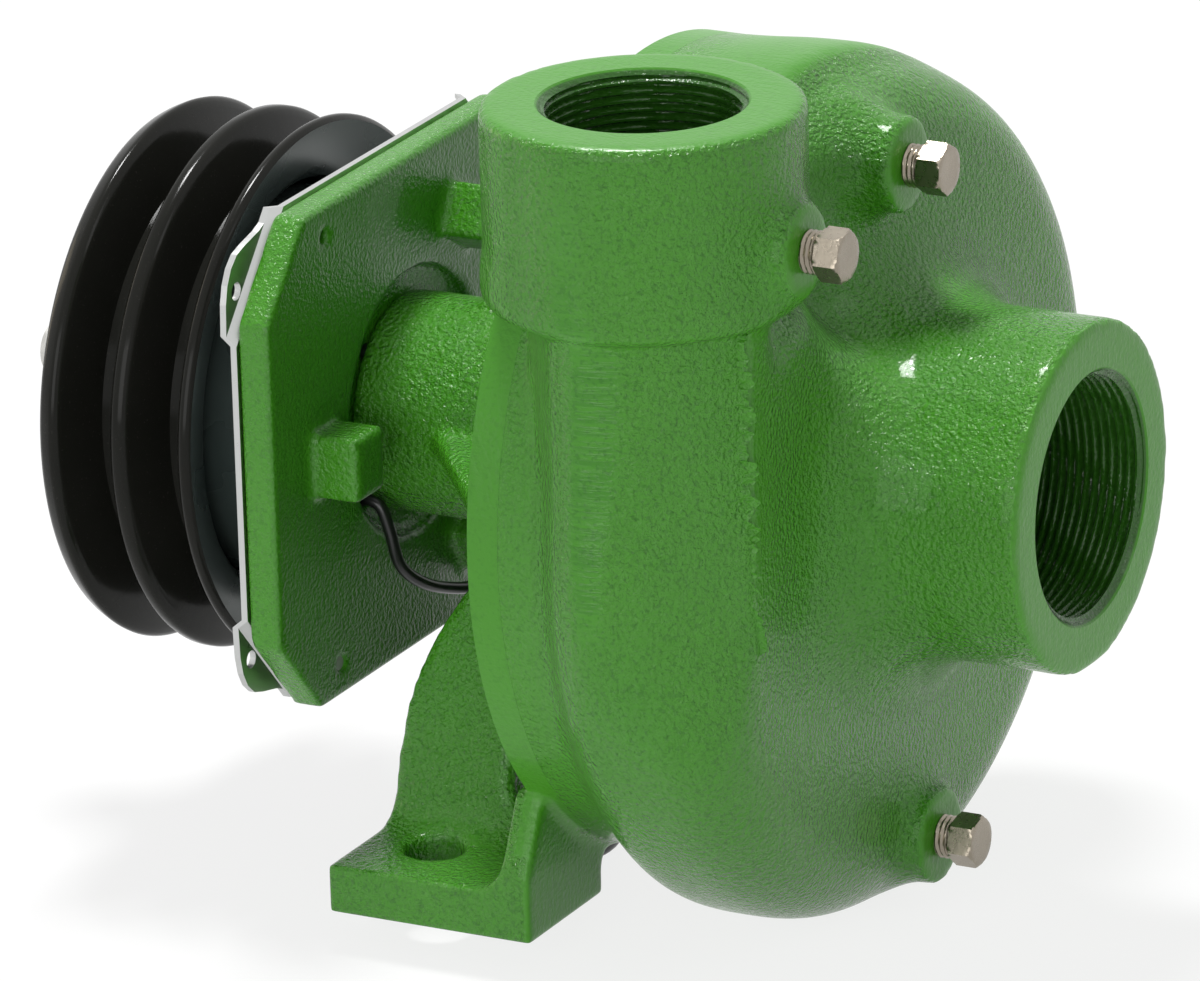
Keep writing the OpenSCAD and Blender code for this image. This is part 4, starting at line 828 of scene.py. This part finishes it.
def make_plug(key, turn):
    """Hexagon plug with its thread showing below the head."""
    name = key + "_hex"
    face, across, above, _ = BOSSES[key]
    angles = [2 * math.pi * j / PLUG_STEPS for j in range(PLUG_STEPS)]
    rings = []
    for i in range(THREAD_ROWS + 1):
        t = PLUG_IN + (PLUG_OUT - PLUG_IN) * i / THREAD_ROWS
        rings.append([(PLUG_ROOT_R + PLUG_TOOTH * abs(2 * ((t / PLUG_PITCH - j / PLUG_STEPS) % 1.0) - 1), t)
                      for j in range(PLUG_STEPS)])
    half_flat = HEAD_R * math.cos(math.pi / 6)
    for h, limit in HEAD_RINGS:
        rings.append([(min(half_flat / math.cos(a % (math.pi / 3) - math.pi / 6), limit), PLUG_OUT + h)
                      for a in angles])
    points = [(face + t, across + r * math.cos(a + turn), above + r * math.sin(a + turn))
              for ring in rings for a, (r, t) in zip(angles, ring)]
    ob = thing(name, raw_mesh(points, capped_tube(len(rings), PLUG_STEPS)))
    dress(ob, "casing", "nickel_steel", key + "_plug")
    smooth_by_angle(ob, 28)


make_plug("gauge", 0.15)
make_plug("prime", 0.45)
make_plug("drain", 0.25)


# ---------------------------------------------------------------- pulley
PULLEY_FAR, PULLEY_NEAR, PULLEY_R = -141.8, -99.8, 66.2
GROOVE_R, GROOVE_FLOOR = 52.2, 4.8
GROOVES = (-128.9, -110.3)  # middles, over the belt mounts
BORE_R, HUB_R, HUB_END, DISH_R = 26.0, 31.5, -105.6, 50.7
FRICTION_BACK = -136.8
RING_GROOVE = (-127.8, -126.2, 1.0)  # for the snap ring: from, to and depth
SLOT_R, SLOT_W, SLOT_ANGLE, SLOT_STEPS = 41.5, 2.0, 42, 14


def pulley_rim(low, high):
    """Rounded rim between two grooves."""
    r = PULLEY_R
    return [(r - 2.6, low - 1.0), (r - 1.2, low - 0.4), (r - 0.35, low + 0.25), (r, low + 1.0),
            (r, high - 1.0), (r - 0.35, high - 0.25), (r - 1.2, high + 0.4), (r - 2.6, high + 1.0)]


def pulley_groove(middle):
    low, high = middle - GROOVE_FLOOR / 2, middle + GROOVE_FLOOR / 2
    return [(GROOVE_R + 1, low - 0.4), (GROOVE_R, low), (GROOVE_R, high), (GROOVE_R + 1, high + 0.4)]


def pulley_profile():
    far, near, r = PULLEY_FAR, PULLEY_NEAR, PULLEY_R
    low, high, depth = RING_GROOVE
    shoulder = [(r - 2.8, far), (r - 1.8, far + 0.4), (r - 1.3, far + 1.2), (r - 0.25, far + 3.4)]
    return ([(BORE_R, far)] + shoulder + pulley_rim(far + 3.4, -136.4)[3:] + pulley_groove(GROOVES[0])
            + pulley_rim(-121.3, -117.7) + pulley_groove(GROOVES[1]) + pulley_rim(-102.9, near - 0.3)[:6]
            + [(r - 1.3, near), (DISH_R + 4, near - 2.5), (DISH_R, near - 6), (DISH_R, FRICTION_BACK),
               (HUB_R, FRICTION_BACK), (HUB_R, HUB_END), (BORE_R, HUB_END),
               (BORE_R, high), (BORE_R + depth, high), (BORE_R + depth, low), (BORE_R, low)])


def friction_slot(k):
    """Cutter for one of the curved slots in the friction face."""
    points = []
    for i in range(SLOT_STEPS + 1):
        a = math.radians(60 * k + SLOT_ANGLE * i / SLOT_STEPS)
        for r, x in ((SLOT_R, PULLEY_FAR - 1), (SLOT_R + SLOT_W, PULLEY_FAR - 1),
                     (SLOT_R + SLOT_W, FRICTION_BACK + 1), (SLOT_R, FRICTION_BACK + 1)):
            points.append((x, r * math.cos(a), r * math.sin(a)))
    return raw_mesh(points, capped_tube(SLOT_STEPS + 1, 4))


def make_pulley():
    """Turned pulley with rounded rims, the far one with a wide sloping shoulder."""
    ob = thing("pulley_turned", lathe(pulley_profile(), 220))
    for k in range(6):
        carve(ob, friction_slot(k))
    dress(ob, "pulley", "black_paint", "pulley")
    # the dished near face and the hollow behind it are less glossy, and their teal colour is a painted
    # reflection of the zinc sheet and the green plate
    ob.data.materials.append(LOOKS["teal_painted_reflection"])
    for poly in ob.data.polygons:
        x, y, z = local(np.array(poly.center))
        r = math.hypot(y, z)
        in_dish = x > PULLEY_NEAR - 8 and poly.normal.x > 0.1 and r < PULLEY_R - 1.5
        if in_dish or (x > FRICTION_BACK - 0.5 and r < DISH_R + 0.4):
            poly.material_index = 1
    smooth_by_angle(ob, 40)


make_pulley()


# ---------------------------------------------------------------- pieces that keep their solids
DRAWN_HERE = ("volute_casing", "bearing_frame", "clutch_plate", "pulley", "gauge_plug", "prime_plug",
              "drain_plug", "lead_wire")
ROUND_EDGED = ("coil_sheet", "coil_housing", "armature_plate", "armature_hub", "shaft", "hub_nut")
EDGE_ROUND = 0.5
EDGE_ANGLE = 35

for node, ob in NODES.items():
    if node not in DRAWN_HERE:
        ob.data.materials.clear()
        # the coil housing gets the teal painted reflection
        ob.data.materials.append(LOOKS["teal_painted_reflection" if node == "coil_housing" else SLOT[node]])

for node in ROUND_EDGED:
    ob = NODES[node]
    mod = ob.modifiers.new("edge", 'BEVEL')
    mod.width = EDGE_ROUND * MM
    mod.segments = 2
    mod.limit_method = 'ANGLE'
    mod.angle_limit = math.radians(EDGE_ANGLE)
    mod.harden_normals = True
    ob.data.polygons.foreach_set("use_smooth", [True] * len(ob.data.polygons))
    smooth_by_angle(ob, EDGE_ANGLE)


# ---------------------------------------------------------------- stage
WHITE = (1, 1, 1, 1)
FLOOR_HALF = 6.0  # metres
FLOOR_GLOW = 0.82  # share of white in the floor, which leaves the rest for the shadow
ROOM_LIGHT = 0.30
FLOOR_LOW, FLOOR_HIGH = (0.86, 0.86, 0.86), (0.90, 0.90, 0.90)


def make_stage():
    """Pale floor that is white to the camera, apart from the shadow."""
    low = min(corner[2] for corner in CAD_BOX)
    half = FLOOR_HALF
    mesh = bpy.data.meshes.new("floor")
    mesh.from_pydata([(-half, -half, low), (half, -half, low), (half, half, low), (-half, half, low)], [],
                     [(0, 1, 2, 3)])
    n = Nodes("pale_floor")
    tone = n.noise(n.place(), 3.0, 2.0, 0.5)
    shade = n.add("ShaderNodeBsdfDiffuse", {"Color": n.mix(tone, FLOOR_LOW, FLOOR_HIGH)})
    glow = n.add("ShaderNodeEmission", {"Color": WHITE, "Strength": 1.0})
    mixed = n.add("ShaderNodeMixShader", {0: n.product(n.seen(), FLOOR_GLOW), 1: shade.outputs[0],
                                          2: glow.outputs[0]})
    n.tree.links.new(mixed.outputs[0], n.out.inputs["Surface"])
    mesh.materials.append(n.mat)
    thing("floor", mesh)


def make_world():
    """Soft light from the room, and white where the camera, a reflection or glass sees it."""
    n = Nodes("studio", world=True)
    room = n.add("ShaderNodeBackground", {"Color": WHITE, "Strength": ROOM_LIGHT})
    white = n.add("ShaderNodeBackground", {"Color": WHITE, "Strength": 1.0})
    mixed = n.add("ShaderNodeMixShader", {0: n.seen(), 1: room.outputs[0], 2: white.outputs[0]})
    n.tree.links.new(mixed.outputs[0], n.out.inputs["Surface"])


def lamp(name, place, aim, size, power, tint=(1.0, 1.0, 1.0)):
    """Rectangular lamp. Places and sizes in metres, power in watts."""
    data = bpy.data.lights.new(name, 'AREA')
    data.energy = power
    data.shape = 'RECTANGLE'
    data.size, data.size_y = size
    data.color = tint
    ob = thing(name, data)
    ob.location = place
    ob.rotation_euler = (Vector(aim) - Vector(place)).to_track_quat('-Z', 'Y').to_euler()


make_stage()
make_world()
lamp("overhead", (-0.28, 0.30, 1.60), (0.02, 0, 0.1), (0.32, 0.32), 27)
lamp("front", (0.20, -1.9, 0.45), (0.02, 0, 0.0), (1.8, 1.2), 17)
lamp("right", (1.7, 0.1, 1.1), (0.05, 0, 0.1), (0.5, 0.9), 2.6)
lamp("left", (-1.7, 0.15, 0.15), (0.02, -0.05, 0.1), (0.45, 1.1), 3.5, (1.0, 0.86, 0.62))

bpy.context.scene.view_settings.view_transform = 'Standard'
